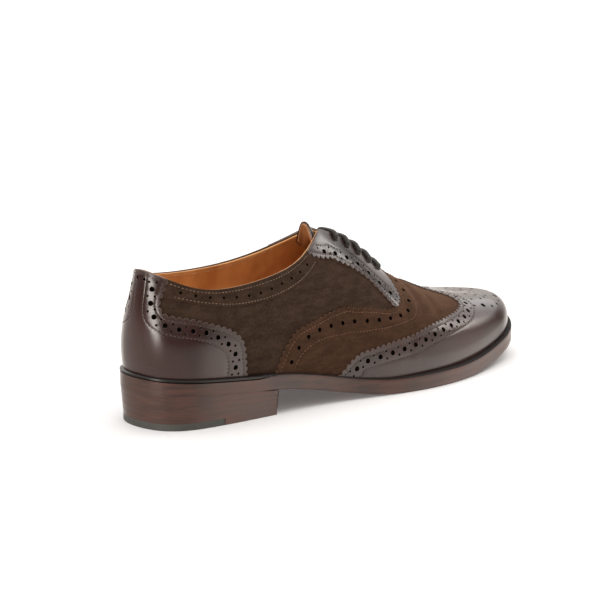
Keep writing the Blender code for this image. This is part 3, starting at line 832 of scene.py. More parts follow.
def grain_group():
    """Fine calf grain: small cells with creased borders, as a height from 0 to 1."""
    group, given, end = new_group("leather_grain", {"Scale": 1500.0}, ["Height"])
    place = on_object(group)
    wander = node(group, "ShaderNodeTexNoise", Vector=place, Scale=300.0, Detail=2.0).outputs["Color"]
    moved = node(group, "ShaderNodeVectorMath", {"operation": "MULTIPLY_ADD"})
    for socket, value in zip(moved.inputs, (wander, (0.0006, 0.0006, 0.0006), place)):
        feed(group, socket, value)
    borders = {"feature": "DISTANCE_TO_EDGE"}
    cells = node(group, "ShaderNodeTexVoronoi", borders, Vector=moved.outputs[0], Scale=given["Scale"])
    feed_all(group, end, Height=ramped(group, cells.outputs["Distance"], 0.0, 0.25))
    return group


def nap_group():
    """Brushed suede: fine fibres for the bump, and clouds where the nap lies another way."""
    group, given, end = new_group("suede_nap", {"Fibre": 2600.0, "Cloud": 160.0}, ["Height", "Shade"])
    cloud = noise(group, on_object(group, (0.6, 0.6, 1.6)), given["Cloud"], 6.0, 0.68)
    fine = noise(group, on_object(group), 900.0, 3.0, 0.7)
    shade = total(group, 0.0, (cloud, 0.62), (fine, 0.38))
    fibre = noise(group, on_object(group), given["Fibre"], 5.0, 0.75)
    feed_all(group, end, Height=fibre, Shade=ramped(group, shade, 0.36, 0.66))
    return group


MOTTLE, GRAIN, NAP = mottle_group(), grain_group(), nap_group()
print("shared effects:", [group.name for group in (MOTTLE, GRAIN, NAP)])


def new_finish(name, **sockets):
    """A Principled material with plain values on its sockets."""
    made = bpy.data.materials.new(name)
    made.use_nodes = True
    tree = made.node_tree
    shader = tree.nodes["Principled BSDF"]
    feed_all(tree, shader, **sockets)
    return made, tree, shader


def bumped(tree, shader, height, strength, distance):
    """A bump in metres on a shader."""
    bump = node(tree, "ShaderNodeBump", Height=height, Strength=strength, Distance=distance)
    feed_all(tree, shader, Normal=bump.outputs["Normal"])


# %% Calf, suede and sole leather
WORN_BROWN = (0.062, 0.031, 0.023)
CALF_CUT = (0.110, 0.062, 0.042)
SUEDE_CUT = (0.110, 0.058, 0.035)
GROOVE_BLACK = (0.008, 0.005, 0.004)
EDGE_COAT = 0.18


def burnished_leather(name, dark, warm, roughness):
    """Polished calf: near black, dark red where the polish is thin, dull and brown at its edges."""
    made, tree, shader = new_finish(
        name, IOR=1.5, Specular_IOR_Level=0.5, Coat_Weight=0.25, Coat_Roughness=0.14, Coat_IOR=1.5
    )
    patches = use_group(tree, MOTTLE, Scale=18.0, Streak=0.7)["Mask"]
    worn = maths(tree, "POWER", attribute(tree, "rim"), 4.0)
    colour = mixed(tree, patches, dark, warm)
    colour = mixed(tree, maths(tree, "MULTIPLY", worn, 0.7), colour, WORN_BROWN)
    colour = mixed(tree, attribute(tree, "cut"), colour, CALF_CUT)
    rough = total(tree, roughness, (patches, 0.05), (worn, 0.22))
    feed_all(tree, shader, Base_Color=colour, Roughness=rough)
    bumped(tree, shader, use_group(tree, GRAIN, Scale=1500.0)["Height"], 0.05, 0.00012)
    return made


def suede(name, deep, raised, sheen):
    """Brushed suede with a soft sheen, and a lighter raw edge."""
    made, tree, shader = new_finish(
        name, Roughness=0.95, Specular_IOR_Level=0.10, Sheen_Weight=sheen, Sheen_Roughness=0.40,
        Sheen_Tint=(0.90, 0.50, 0.29, 1.0),
    )
    nap = use_group(tree, NAP, Fibre=2600.0, Cloud=170.0)
    colour = mixed(tree, nap["Shade"], deep, raised)
    feed_all(tree, shader, Base_Color=mixed(tree, attribute(tree, "cut"), colour, SUEDE_CUT))
    bumped(tree, shader, nap["Height"], 0.55, 0.0004)
    return made


def waxed_edge(name, roughness, lines):
    """Sole leather seen on its edge: long fibres and lifts in darker and redder bands, waxed."""
    made, tree, shader = new_finish(name, IOR=1.5, Specular_IOR_Level=0.42, Coat_Roughness=0.25)
    streaks = use_group(tree, MOTTLE, Scale=60.0, Streak=7.0)["Mask"]
    patches = use_group(tree, MOTTLE, Scale=22.0, Streak=0.4)["Mask"]
    groove = attribute(tree, "groove")
    dull = maths(tree, "MULTIPLY", groove, attribute(tree, "fore"))
    bands = total(tree, 0.0, (streaks, 0.5), (patches, 0.5))
    colour = mixed(tree, bands, (0.031, 0.0150, 0.0108), (0.104, 0.040, 0.0258))
    colour = mixed(tree, maths(tree, "MULTIPLY", groove, lines), colour, GROOVE_BLACK)
    rough = total(tree, roughness, (streaks, 0.12), (dull, 0.45))
    coat = total(tree, EDGE_COAT, (dull, -EDGE_COAT))
    feed_all(tree, shader, Base_Color=colour, Roughness=rough, Coat_Weight=coat)
    bumped(tree, shader, noise(tree, on_object(tree, (1, 1, 9)), 260.0, 4.0), 0.16, 0.0004)
    return made


# %% Lining, thread, rubber and lace
def two_tone(name, dark, light, patch, uneven=None, grain=None, **sockets):
    """A plain finish in two colours, whose patches have a scale and a streak.

    Patches may also be uneven in roughness, as a start and a rise, and there may be a grain, with
    its scale, strength and depth.
    """
    made, tree, shader = new_finish(name, **sockets)
    scale, streak = patch
    patches = use_group(tree, MOTTLE, Scale=scale, Streak=streak)["Mask"]
    feed_all(tree, shader, Base_Color=mixed(tree, patches, dark, light))
    if uneven:
        feed_all(tree, shader, Roughness=total(tree, uneven[0], (patches, uneven[1])))
    if grain:
        bumped(tree, shader, use_group(tree, GRAIN, Scale=grain[0])["Height"], *grain[1:])
    return made


def lining_leather(name, deep, raised):
    """Smooth vegetable-tanned lining, a little uneven, with a satin shine."""
    return two_tone(
        name, deep, raised, (55.0, 0.35), grain=(900.0, 0.12, 0.00015),
        Roughness=0.42, Specular_IOR_Level=0.45, Coat_Weight=0.10,
    )


def thread(name, dark, light, roughness=0.6):
    """Waxed thread, its colour uneven from stitch to stitch."""
    return two_tone(name, dark, light, (420.0, 1.0), Roughness=roughness, Specular_IOR_Level=0.4)


def lace_cotton(name, dark, light):
    """Waxed round lace: the braid is in its mesh, its threads in the bump, and painted shade darkens the
    braid's hollows.
    """
    made, tree, shader = new_finish(
        name, Roughness=0.55, Specular_IOR_Level=0.4, Sheen_Weight=0.15, Sheen_Roughness=0.4
    )
    # Dark where the braid sinks in, light on its raised strands: painted shade in the hollows.
    feed_all(tree, shader, Base_Color=mixed(tree, attribute(tree, "braid"), dark, light))
    bumped(tree, shader, noise(tree, on_object(tree), 3000.0, 3.0), 0.3, 0.0002)
    return made


CALF = burnished_leather("burnished_calf", (0.0085, 0.0060, 0.0055), (0.040, 0.0130, 0.0095), 0.22)
QUARTER_SUEDE = suede("quarter_suede", (0.029, 0.0160, 0.0100), (0.058, 0.034, 0.0222), 0.12)
# The vamp's suede is the quarters' suede made redder and lighter: partly its own redder tone, partly
# painted light for its top, which the overhead light falls on.
VAMP_SUEDE = suede("vamp_suede", (0.036, 0.0170, 0.0098), (0.072, 0.0350, 0.0200), 0.30)
TAN_LINING = lining_leather("tan_lining", (0.58, 0.255, 0.080), (0.84, 0.440, 0.165))
# The tongue's lining is the tan lining again in darker colours: painted shade for its inner face, which
# lies in shade.
TONGUE_TAN_SHADED = lining_leather("tongue_tan_painted_shade", (0.26, 0.100, 0.034), (0.42, 0.185, 0.070))
SOLE_EDGE = waxed_edge("sole_edge", 0.34, 0.6)
WELT_EDGE = waxed_edge("welt_edge", 0.28, 1.0)
RUBBER = two_tone(
    "heel_rubber", (0.050, 0.050, 0.044), (0.085, 0.083, 0.074), (60.0, 1.0), (0.50, 0.12),
    (1100.0, 0.25, 0.00015), Specular_IOR_Level=0.35,
)
TAN_THREAD = thread("tan_thread", (0.085, 0.034, 0.016), (0.20, 0.085, 0.040))
BEIGE_THREAD = thread("beige_thread", (0.095, 0.058, 0.036), (0.22, 0.14, 0.088))
CREAM_THREAD = thread("cream_thread", (0.45, 0.26, 0.13), (0.75, 0.52, 0.32))
BROWN_THREAD = thread("brown_thread", (0.038, 0.022, 0.017), (0.100, 0.064, 0.050), 0.45)
HOLE_SHADE = two_tone(
    "hole_shade", (0.002, 0.0016, 0.0014), (0.006, 0.004, 0.003), (900.0, 1.0),
    Roughness=1.0, Specular_IOR_Level=0.0,
)
LACE = lace_cotton("lace_cotton", (0.014, 0.011, 0.009), (0.058, 0.047, 0.037))
print("finishes:", len(bpy.data.materials))

# %% [markdown]
# ## Sheets and layers
# The quarters, lining, tongue, insole and every layer of the sole start as a grid, whose points are
# moved to their places. Edit mode then welds the seams and sets the faces outward, and a sheet gets
# its thickness and rounded rim from modifiers that are applied.

# %% Making a sheet and dressing a piece
RIM_ANGLE = 60
SHEET_SMOOTH = 50


def weld(made, distance=2e-6):
    """Merge doubled points and set the faces to one side."""
    with edit_mode(made):
        bpy.ops.mesh.remove_doubles(threshold=distance)
        bpy.ops.mesh.normals_make_consistent(inside=False)


def facing(made, direction):
    """Turn a mesh's faces so that they mostly look along direction(face centre)."""
    looks = sum(face.normal.dot(direction(face.center)) * face.area for face in made.data.polygons)
    if looks < 0:
        with edit_mode(made):
            bpy.ops.mesh.flip_normals()
    return made


def upward(centre):
    """The direction up, whatever the face."""
    return Vector((0, 0, 1))


def sheet(name, across, along, place, direction=upward):
    """A grid moved onto place(u, v), where u and v run from 0 to 1, welded and facing a direction."""
    bpy.ops.mesh.primitive_grid_add(x_subdivisions=across, y_subdivisions=along, size=1.0)
    made = bpy.context.object
    made.name = made.data.name = name
    at = np.zeros(len(made.data.vertices) * 3, np.float32)
    made.data.vertices.foreach_get("co", at)
    at = at.reshape(-1, 3).astype(float)[:, :2] + 0.5
    made.data.vertices.foreach_set("co", place(at[:, 0], at[:, 1]).astype(np.float32).ravel())
    weld(made)
    return facing(made, direction)


def applied(made, kind, **settings):
    """Add a modifier and apply it."""
    select_only(made)
    modifier = made.modifiers.new(kind.lower(), kind)
    for key, value in settings.items():
        setattr(modifier, key, value)
    bpy.ops.object.modifier_apply(modifier=modifier.name)
    return made


def thickened(made, thickness, offset, rounding):
    """A sheet given its thickness, to the outside (1) or inside (-1), and a rounded rim."""
    applied(made, "SOLIDIFY", thickness=thickness, offset=offset)
    corner = math.radians(RIM_ANGLE)
    applied(made, "BEVEL", width=rounding, segments=2, limit_method="ANGLE", angle_limit=corner)
    return smoothed(made, SHEET_SMOOTH)


def dress(made, finish, slot, *nodes):
    """Give a piece its finish, its place on the shoe's body and the solids that it stands for."""
    marked = np.zeros(len(made.data.polygons), np.int32)
    made.data.polygons.foreach_get("material_index", marked)
    made.data.materials.clear()
    made.data.materials.append(finish)
    if marked.any():
        made.data.materials.append(HOLE_SHADE)
        made.data.polygons.foreach_set("material_index", marked)
    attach(made, "root")
    if nodes:
        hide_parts(*nodes)
    print("dressed", made.name, "for", nodes)
    return made


def make_panel(name, pattern, outline, lifts, holes, lines, *dressing):
    """Cut a panel, dress it, and give back its seams, sunk in their grooves."""
    dress(cut_panel(name, pattern, outline, lifts, holes, lines), *dressing)
    return [(pattern, line, lifts[2] - STITCH_SUNK) for line in lines]


# %% [markdown]
# ## Quarters and lining
# The quarters are the suede that shows between the panels. The lining is a second skin inside them.
# Each is one sheet right round the last, welded at the heel and along the closed ridge.

# %% Quarters and lining
UPPER_FOOT = -0.02
QUARTER = 0.0010
LINING = 0.0010
TUCK = 0.0004
UPPER_GRID = (288, 40)


def away_from_middle(centre):
    """Outward, seen from the middle of the shoe."""
    return centre - Vector((centre.x * 0.75, 0, INSTEP / 3))


def upper_sheet(name, lift, thickness):
    """One skin of the upper, grown inward."""
    def place(u, v):
        return skin(LAP * u, UPPER_FOOT + (1 - UPPER_FOOT) * v, lift)

    return thickened(sheet(name, *UPPER_GRID, place, away_from_middle), thickness, -1.0, TUCK)


dress(upper_sheet("quarters", 0.0, QUARTER), QUARTER_SUEDE, "suede", "upper")
dress(upper_sheet("lining", -QUARTER, LINING), TAN_LINING, "lining_leather")

# %% [markdown]
# ## Panels of the rear: counter, collar bands and eyestays
# The counter is calf, gimped along its edge, with a border of holes between two seams. The collar
# bands are suede with one row of holes between two seams and a plain edge. The eyestays are calf and
# carry five blind eyelets each. Their outlines are short tables of stations and heights.

# %% Edges and rows of the rear panels
COUNTER_EDGE = (
    (2.56, -0.02), (2.51, 0.2), (2.47, 0.37), (2.35, 0.49), (2.15, 0.575), (1.9, 0.625), (1.6, 0.655),
    (1.2, 0.652), (0.88, 0.645), (0.74, 0.69), (0.72, 0.76), (0.82, 0.86), (0.97, 1.0),
)
COUNTER_HOLES = (
    (2.34, 0.03), (2.33, 0.2), (2.26, 0.33), (2.0, 0.47), (1.7, 0.525), (1.3, 0.52), (0.95, 0.525),
    (0.62, 0.57), (0.46, 0.68), (0.46, 0.8), (0.5, 0.93),
)
COUNTER_SEAM = (
    (2.2, -0.01), (2.2, 0.16), (2.1, 0.3), (1.86, 0.395), (1.5, 0.43), (1.0, 0.435), (0.6, 0.46),
    (0.32, 0.525), (0.21, 0.64), (0.23, 0.78), (0.28, 0.99),
)
COLLAR_EDGE = (
    (0.6, 0.815), (1.4, 0.843), (2.0, 0.838), (2.4, 0.8), (3.0, 0.775), (3.5, 0.793), (4.0, 0.815),
    (4.8, 0.84),
)
COLLAR_HOLES = ((1.1, 0.915), (1.9, 0.925), (2.5, 0.89), (2.95, 0.868), (3.5, 0.89), (4.3, 0.907))
COLLAR_TOP_SEAM = ((1.0, 0.965), (2.0, 0.968), (3.0, 0.955), (3.8, 0.965), (4.36, 0.97))
EYESTAY_EDGE = (
    (4.28, 1.0), (4.42, 0.92), (4.6, 0.85), (4.8, 0.785), (5.06, 0.732), (5.45, 0.706), (5.75, 0.68),
    (6.0, 0.645), (6.2, 0.598), (6.4, 0.537), (6.56, 0.48),
)
EYESTAY_HOLES = (
    (4.66, 0.882), (4.84, 0.828), (5.12, 0.782), (5.44, 0.772), (5.76, 0.755), (6.01, 0.724),
    (6.22, 0.685), (6.44, 0.643), (6.66, 0.593), (6.76, 0.565),
)
EYESTAY_FOOT = ((6.62, 0.44), (6.92, 0.49), (7.1, 0.57), (7.17, 0.68), (7.18, 0.82), (6.98, 0.97))
EYELETS = ((5.38, 0.93), (5.72, 0.905), (6.06, 0.89), (6.41, 0.88), (6.76, 0.88))
COUNTER_TOP_ROW = ((-0.34, 0.93), (0.0, 0.93), (0.34, 0.93))
COUNTER_TOP_SEAM = ((-0.7, 0.965), (0.0, 0.965), (0.7, 0.965))
COLLAR_TOP = ((4.45, 1.0), (0.75, 1.0))
EYESTAY_TIP = (7.0, 0.995)
EYELET = 0.0019
SEAM_IN = 0.0024
COLLAR_SEAM_IN = 0.0013
COLLAR_SEAM_SHOWS = slice(20, -12)
EYESTAY_SEAM_SHOWS = slice(6, None)
EYESTAY_SEAM_BESIDE = 0.0042
COUNTER_HOLE, COUNTER_PITCH, COUNTER_TOP_PITCH = 0.00145, 0.0083, 0.0062
COLLAR_HOLE, COLLAR_PITCH = 0.00095, 0.0090
EYESTAY_HOLE, EYESTAY_PITCH = 0.00150, 0.0090
COUNTER_MARGIN = 0.0007
INNER_SHIFT = 0.0026
OUTLINE_STEP = 0.0010
RUN_STEP = 0.0008
COUNTER_LIFTS = (-0.0002, 0.0001, 0.0013)
COLLAR_LIFTS = (-0.0002, 0.0001, 0.0006)
EYESTAY_LIFTS = (-0.0002, 0.0001, 0.0011)
SIDES = (("lateral", 1), ("medial", -1))


def between(start, end):
    """Places on a straight run between two stations and heights, both ends left out."""
    start, end = np.array(start, float), np.array(end, float)
    count = max(2, round(np.linalg.norm((end - start) * PATTERN) / RUN_STEP))
    return (start + (end - start) * np.linspace(0, 1, count + 1)[:, None])[1:-1]


def rear(table, side=1):
    """A table's smooth curve on the rear bench, on the outer (1) or inner (-1) side."""
    return REAR.flat(drawn(table)) * [side, 1]


print("eyelets on each side:", len(EYELETS))


# %% Heel counter
def make_counter():
    """The counter, one piece around the heel, and its five seams."""
    outer = gimped(REAR, rear(COUNTER_EDGE), -1)
    inner = outer[::-1] * [-1, 1]
    foot, top = COUNTER_EDGE[0], COUNTER_EDGE[-1]
    topline = REAR.flat(between(top, (-top[0], 1.0)))
    from_ends = [np.linalg.norm(topline - topline[end], axis=1) for end in (0, -1)]
    topline = topline[np.minimum(*from_ends) > GIMP_DEPTH]
    welt_line = REAR.flat(between((-foot[0], foot[1]), foot))
    outline = np.concatenate([outer, topline, inner, welt_line])
    holes = []
    for line in (rear(COUNTER_HOLES), rear(COUNTER_HOLES, -1) - [INNER_SHIFT, 0]):
        holes += hole_row(REAR, line, COUNTER_HOLE, COUNTER_PITCH)
    holes += hole_row(REAR, rear(COUNTER_TOP_ROW), COLLAR_HOLE, COUNTER_TOP_PITCH, pairs=False)
    holes = inside_only(REAR, outline, holes, COUNTER_MARGIN)
    near, far = beside(REAR, rear(COUNTER_EDGE), SEAM_IN), rear(COUNTER_SEAM)
    lines = [line * [side, 1] for line in (near, far) for side in (1, -1)] + [rear(COUNTER_TOP_SEAM)]
    return make_panel(
        "heel_counter_calf", REAR, outline, COUNTER_LIFTS, holes, lines,
        CALF, "burnished_leather", "heel_counter",
    )


brown_seams = make_counter()


# %% Collar bands
def make_collar_band(name, side):
    """The band under the topline on one side, and its seams."""
    lower = drawn(COLLAR_EDGE)
    end, start = COLLAR_TOP
    band = [lower, between(lower[-1], end), between(end, start), between(start, lower[0])]
    outline = spaced(REAR, REAR.flat(np.concatenate(band)) * [side, 1], OUTLINE_STEP)
    holes = hole_row(REAR, rear(COLLAR_HOLES, side), COLLAR_HOLE, COLLAR_PITCH, pairs=False)
    edge = beside(REAR, rear(COLLAR_EDGE), COLLAR_SEAM_IN)[COLLAR_SEAM_SHOWS] * [side, 1]
    return make_panel(
        f"collar_band_{name}_suede", REAR, outline, COLLAR_LIFTS, holes,
        [edge, rear(COLLAR_TOP_SEAM, side)], QUARTER_SUEDE, "suede", f"collar_band_{name}",
    )


beige_seams = []
for side_name, side_turn in SIDES:
    beige_seams += make_collar_band(side_name, side_turn)


# %% Eyestays
def make_eyestay(name, side):
    """The lace facing on one side with its eyelets, and its seams."""
    gimp = gimped(REAR, rear(EYESTAY_EDGE), -1)
    foot = spaced(REAR, rear(EYESTAY_FOOT), OUTLINE_STEP)
    corner, top = (THROAT_TOP, 1.0), EYESTAY_EDGE[0]
    edge = np.concatenate([between(EYESTAY_TIP, corner), [corner], between(corner, top)])
    outline = np.concatenate([gimp, foot, REAR.flat(edge)]) * [side, 1]
    holes = hole_row(REAR, rear(EYESTAY_HOLES, side), EYESTAY_HOLE, EYESTAY_PITCH)
    holes += [(REAR.flat(place) * [side, 1], EYELET) for place in EYELETS]
    holes = inside_only(REAR, outline, holes)
    near = beside(REAR, rear(EYESTAY_EDGE), SEAM_IN)[EYESTAY_SEAM_SHOWS]
    far = beside(REAR, rear(EYESTAY_HOLES), EYESTAY_SEAM_BESIDE)
    return make_panel(
        f"eyestay_{name}_calf", REAR, outline, EYESTAY_LIFTS, holes,
        [line * [side, 1] for line in (near, far)], CALF, "burnished_leather", f"eyestay_{name}",
    )


for side_name, side_turn in SIDES:
    brown_seams += make_eyestay(side_name, side_turn)

# %% [markdown]
# ## Panels of the forepart: vamp and wing cap
# The vamp is suede and lies over the quarters and the eyestays' feet. The wing cap is calf and lies
# over the vamp. Both cross the ridge, so they are drawn on the fan bench in one piece. On the toe a
# plain rosette of holes is punched, as is usual on such shoes.

# %% Edges and rows of the forepart
VAMP_EDGE = (
    (3.1, -0.02), (3.2, 0.145), (3.33, 0.27), (3.58, 0.385), (3.96, 0.42), (4.4, 0.43), (5.1, 0.408),
    (5.6, 0.418), (6.1, 0.432), (6.5, 0.462), (6.8, 0.525), (6.96, 0.6), (7.02, 0.69), (7.06, 0.78),
    (7.08, 0.89), (7.06, 1.0),
)
VAMP_HOLES = (
    (3.36, 0.03), (3.46, 0.16), (3.66, 0.27), (3.92, 0.33), (4.3, 0.346), (4.95, 0.327), (5.6, 0.342),
    (6.1, 0.37), (6.42, 0.397), (6.8, 0.434), (7.12, 0.5), (7.28, 0.59), (7.34, 0.7), (7.36, 0.84),
    (7.34, 1.0),
)
VAMP_SEAM = (
    (3.46, 0.0), (3.56, 0.12), (3.74, 0.2), (3.98, 0.25), (4.34, 0.268), (5.0, 0.262), (5.6, 0.285),
    (6.2, 0.323), (6.9, 0.388), (7.24, 0.442), (7.46, 0.53), (7.58, 0.64), (7.62, 0.76), (7.62, 0.88),
    (7.56, 1.0),
)
WING_EDGE = (
    (4.56, -0.02), (5.04, 0.113), (5.5, 0.165), (6.0, 0.207), (6.54, 0.246), (7.06, 0.29), (7.58, 0.35),
    (8.18, 0.413), (8.7, 0.469), (9.1, 0.52), (9.4, 0.59), (9.52, 0.68), (9.48, 0.77), (9.3, 0.83),
    (8.95, 0.88), (8.5, 0.94), (8.25, 1.0),
)
VAMP_HOLE, VAMP_PITCH = 0.00132, 0.0094
WING_HOLE, WING_PITCH = 0.00150, 0.0090
HOLES_IN = 0.0056
WING_SEAM_IN = 0.0100
UNDERLAP = 0.008
UNDERLAP_STEP = 0.0015
VAMP_FRONT = 4.72
RIDGE_READS = 60
VAMP_LIFTS = (-0.0002, 0.0001, 0.0013)
WING_LIFTS = (0.0002, 0.0014, 0.0021)
MEDALLION_BACK = 0.0388
MEDALLION_AXIS = (11.0, 9.0)
MEDALLION = (
    (0.0, 0.0014, (0,)),
    (0.0075, 0.0008, (0, 45, 90, 135, 180)),
    (0.0140, 0.0012, (0, 42, 84)),
    (0.0186, 0.0008, (12, 27, 56, 70)),
    (0.0240, 0.0009, (50, 64, 78, 100)),
    (0.0245, 0.0013, (0,)),
    (0.0310, 0.0016, (36, 92)),
    (0.0325, 0.0009, (10, 22, 50, 64, 78, 107)),
)


def half(table, side):
    """A table's smooth curve on the fan bench, on the outer (1) or inner (-1) side."""
    places = drawn(table)
    return FORE.flat(places if side > 0 else other_side(places))


def fore(table):
    """A table's smooth curve over the whole forepart: up the outer side and down the inner one."""
    return np.concatenate([half(table, 1), half(table, -1)[::-1]])


def up_to_ridge(line, side):
    """The stretch of a half line that stays on its own side of the ridge."""
    ridge = crest(np.linspace(THROAT_FOOT, TOE, RIDGE_READS))
    height = np.interp(line[:, 0], ridge[:, 0], ridge[:, 1])
    beyond = (line[:, 1] - height) * side > 0
    first = np.argmax(beyond) if beyond.any() else len(line)
    return line[:max(first, 2)]


def moved_in(table, distance):
    """A line inside a panel's edge over the whole forepart."""
    outer, inner = (
        up_to_ridge(beside(FORE, half(table, side), -side * distance), side) for side in (1, -1)
    )
    return np.concatenate([outer, inner[::-1]])


print("rings of the rosette:", len(MEDALLION))


# %% Vamp
def make_vamp():
    """The vamp over the quarters, and its two seams."""
    back = gimped(FORE, fore(VAMP_EDGE), 1)
    front = spaced(FORE, moved_in(WING_EDGE, UNDERLAP), UNDERLAP_STEP)
    foot = between((VAMP_FRONT, UPPER_FOOT), VAMP_EDGE[0])
    inner_foot = FORE.flat(other_side(foot)[::-1])
    outline = np.concatenate([back, inner_foot, front[::-1], FORE.flat(foot)])
    holes = hole_row(FORE, fore(VAMP_HOLES), VAMP_HOLE, VAMP_PITCH, pairs=False)
    holes = inside_only(FORE, outline, holes)
    lines = [moved_in(VAMP_EDGE, SEAM_IN), fore(VAMP_SEAM)]
    return make_panel("vamp_suede", FORE, outline, VAMP_LIFTS, holes, lines, VAMP_SUEDE, "suede", "vamp")


tan_seams = make_vamp()


# %% Wing cap
def medallion():
    """The rosette on the toe: rings around its middle, each with a hole size and angles from forward."""
    tip = feather(np.array([float(TOE)]))[0]
    front, back = crest(np.array(MEDALLION_AXIS))
    middle = np.array([tip[0] - MEDALLION_BACK, front[1]])
    ahead = unit(front[:2] - back[:2])
    left = np.array([-ahead[1], ahead[0]])
    holes = []
    for radius, size, angles in MEDALLION:
        for angle in sorted({turn for angle in angles for turn in (angle, -angle % 360)}):
            turn = math.radians(angle)
            holes.append((middle + radius * (ahead * math.cos(turn) + left * math.sin(turn)), size))
    return holes


def make_wing_cap():
    """The cap over the vamp, and its two seams."""
    back = gimped(FORE, fore(WING_EDGE), 1)
    foot = WING_EDGE[0][0]
    welt_line = FORE.flat(between((LAP - foot, UPPER_FOOT), (foot, UPPER_FOOT)))
    outline = np.concatenate([back, welt_line])
    holes = hole_row(FORE, moved_in(WING_EDGE, HOLES_IN), WING_HOLE, WING_PITCH) + medallion()
    holes = inside_only(FORE, outline, holes)
    lines = [moved_in(WING_EDGE, inset) for inset in (SEAM_IN, WING_SEAM_IN)]
    return make_panel(
        "wing_cap_calf", FORE, outline, WING_LIFTS, holes, lines, CALF, "burnished_leather", "wing_cap"
    )


brown_seams += make_wing_cap()

# %% Seams of the upper
dress(sew("seams_brown_thread", brown_seams), BROWN_THREAD, "burnished_leather")
dress(sew("seams_beige_thread", beige_seams), BEIGE_THREAD, "suede")
dress(sew("seams_tan_thread", tan_seams), TAN_THREAD, "suede")
lining_rows = [(REAR, rear(COLLAR_TOP_SEAM, side), -WALL) for side in (1, -1)]
dress(sew("seams_lining_thread", lining_rows), CREAM_THREAD, "lining_leather")

# %% [markdown]
# ## Tongue, insole and lace
# The tongue bridges the throat under the facings and stands a little above them, calf outside and tan
# inside. The lace is a round braid: five straight bars, each coming up through one eyelet and going
# down through the one across from it.

# %% Tongue
TONGUE_FOOT = 7.3
TONGUE_SIDES = (0.78, 0.88, 0.97)
TONGUE_COVERED = 0.85
TONGUE_TAPER = 0.55
TONGUE_TAPER_FROM = 0.6
TONGUE_BACK = 0.0060
TONGUE_RISE = 0.0085
TONGUE_ROUND = 0.7
TONGUE_CLEAR = 0.0010
TONGUE_CALF, TONGUE_CALF_RIM = 0.00096, 0.0003
TONGUE_LINING, TONGUE_LINING_RIM = 0.00144, 0.0004
TONGUE_LINING_IN = 0.012
TONGUE_LINING_UP = 0.99
TONGUE_GRID = (32, 40)


def tongue_section(station):
    """Points across the tongue under the facings at one station."""
    depth = -(WALL + TONGUE_CLEAR * (1 + max(0.0, THROAT_TOP + 1 - station)))
    heights = np.array(TONGUE_SIDES)
    outer, inner = skin(station, heights, depth), skin(LAP - station, heights, depth)
    return np.concatenate([outer, inner[::-1]])


def tongue_place(u, v):
    """Points of the tongue's outer face, across and along it."""
    rows = {}
    points = []
    for across, run in zip(u, v):
        covered = min(run / TONGUE_COVERED, 1.0)
        above_throat = max(0.0, (run - TONGUE_COVERED) / (1 - TONGUE_COVERED))
        if covered not in rows:
            rows[covered] = tongue_section(TONGUE_FOOT + (THROAT_TOP - TONGUE_FOOT) * covered)
        from_middle = 2 * across - 1
        width = 1 - TONGUE_TAPER * max(0.0, run - TONGUE_TAPER_FROM)
        middle = (len(rows[covered]) - 1) / 2
        point = spline(rows[covered], np.array([middle + middle * from_middle * width]))[0]
        droop = 1 - TONGUE_ROUND * from_middle**4
        points.append(point + above_throat * np.array([-TONGUE_BACK, 0, TONGUE_RISE * droop]))
    return np.array(points)


def tongue_lining_place(u, v):
    """Points of the tongue's outer face that its lining lies behind, a little inside its rim."""
    return tongue_place(TONGUE_LINING_IN + (1 - 2 * TONGUE_LINING_IN) * u, TONGUE_LINING_UP * v)


tongue_face = sheet("tongue_calf", *TONGUE_GRID, tongue_place)
thickened(tongue_face, TONGUE_CALF, -1.0, TONGUE_CALF_RIM)
tongue_back = sheet("tongue_lining", *TONGUE_GRID, tongue_lining_place)
applied(tongue_back, "DISPLACE", strength=-TONGUE_CALF, mid_level=0.0)
thickened(tongue_back, TONGUE_LINING, -1.0, TONGUE_LINING_RIM)
dress(tongue_face, CALF, "burnished_leather", "tongue")
# The tongue's lining takes the darker copy of the tan lining, which paints shade on its inner face.
dress(tongue_back, TONGUE_TAN_SHADED, "lining_leather")

# %% Insole
INSOLE = 0.0030
INSOLE_IN = WALL + 2 * GAP
INSOLE_RIM = 0.0006
INSOLE_GRID = (16, 120)


def insole_place(u, v):
    """Points of the insole's underside, across and along it."""
    outer, inner = (
        sole_outline(at, around("welt", "welt", at)[..., 0] + INSOLE_IN)
        for at in (TOE * v, LAP - TOE * v)
    )
    return on_welt(outer + (inner - outer) * u[:, None]) - CENTRE


insole = thickened(sheet("insole_sock", *INSOLE_GRID, insole_place), INSOLE, 1.0, INSOLE_RIM)
dress(insole, TAN_LINING, "lining_leather", "insole")

# %% Lace bars
LACE_SIZE = 0.0032
LACE_RIDE = 0.0024
LACE_SUNK = -0.0032
LACE_ROUNDING = 4
LACE_STEP = 0.00035
LACE_SIDES = 20
BRAID_TURNS = 5
BRAID_PITCH = 0.0042
BRAID_DEPTH = 0.07
FACING_EDGE = 0.995


def rounded(points, times):
    """A line through space with its corners cut off again and again."""
    for _ in range(times):
        early = points[:-1] * 0.75 + points[1:] * 0.25
        late = points[:-1] * 0.25 + points[1:] * 0.75
        cut = np.stack([early, late], axis=1).reshape(-1, 3)
        points = np.concatenate([points[:1], cut, points[-1:]])
    return points


def lace_route(station, height):
    """A bar's middle line: up out of one eyelet, flat over the facings and down the other."""
    stations = np.array([station] * 4)
    heights = np.array([height, height, (height + FACING_EDGE) / 2, FACING_EDGE])
    lifts = np.array([LACE_SUNK, LACE_RIDE, LACE_RIDE, LACE_RIDE])
    near, far = skin(stations, heights, lifts), skin(LAP - stations, heights, lifts)
    fine = rounded(np.concatenate([near, far[::-1]]), LACE_ROUNDING)
    gone = travelled(fine)
    at = np.linspace(0, gone[-1], round(gone[-1] / LACE_STEP))
    return along_line(fine, gone, at), at


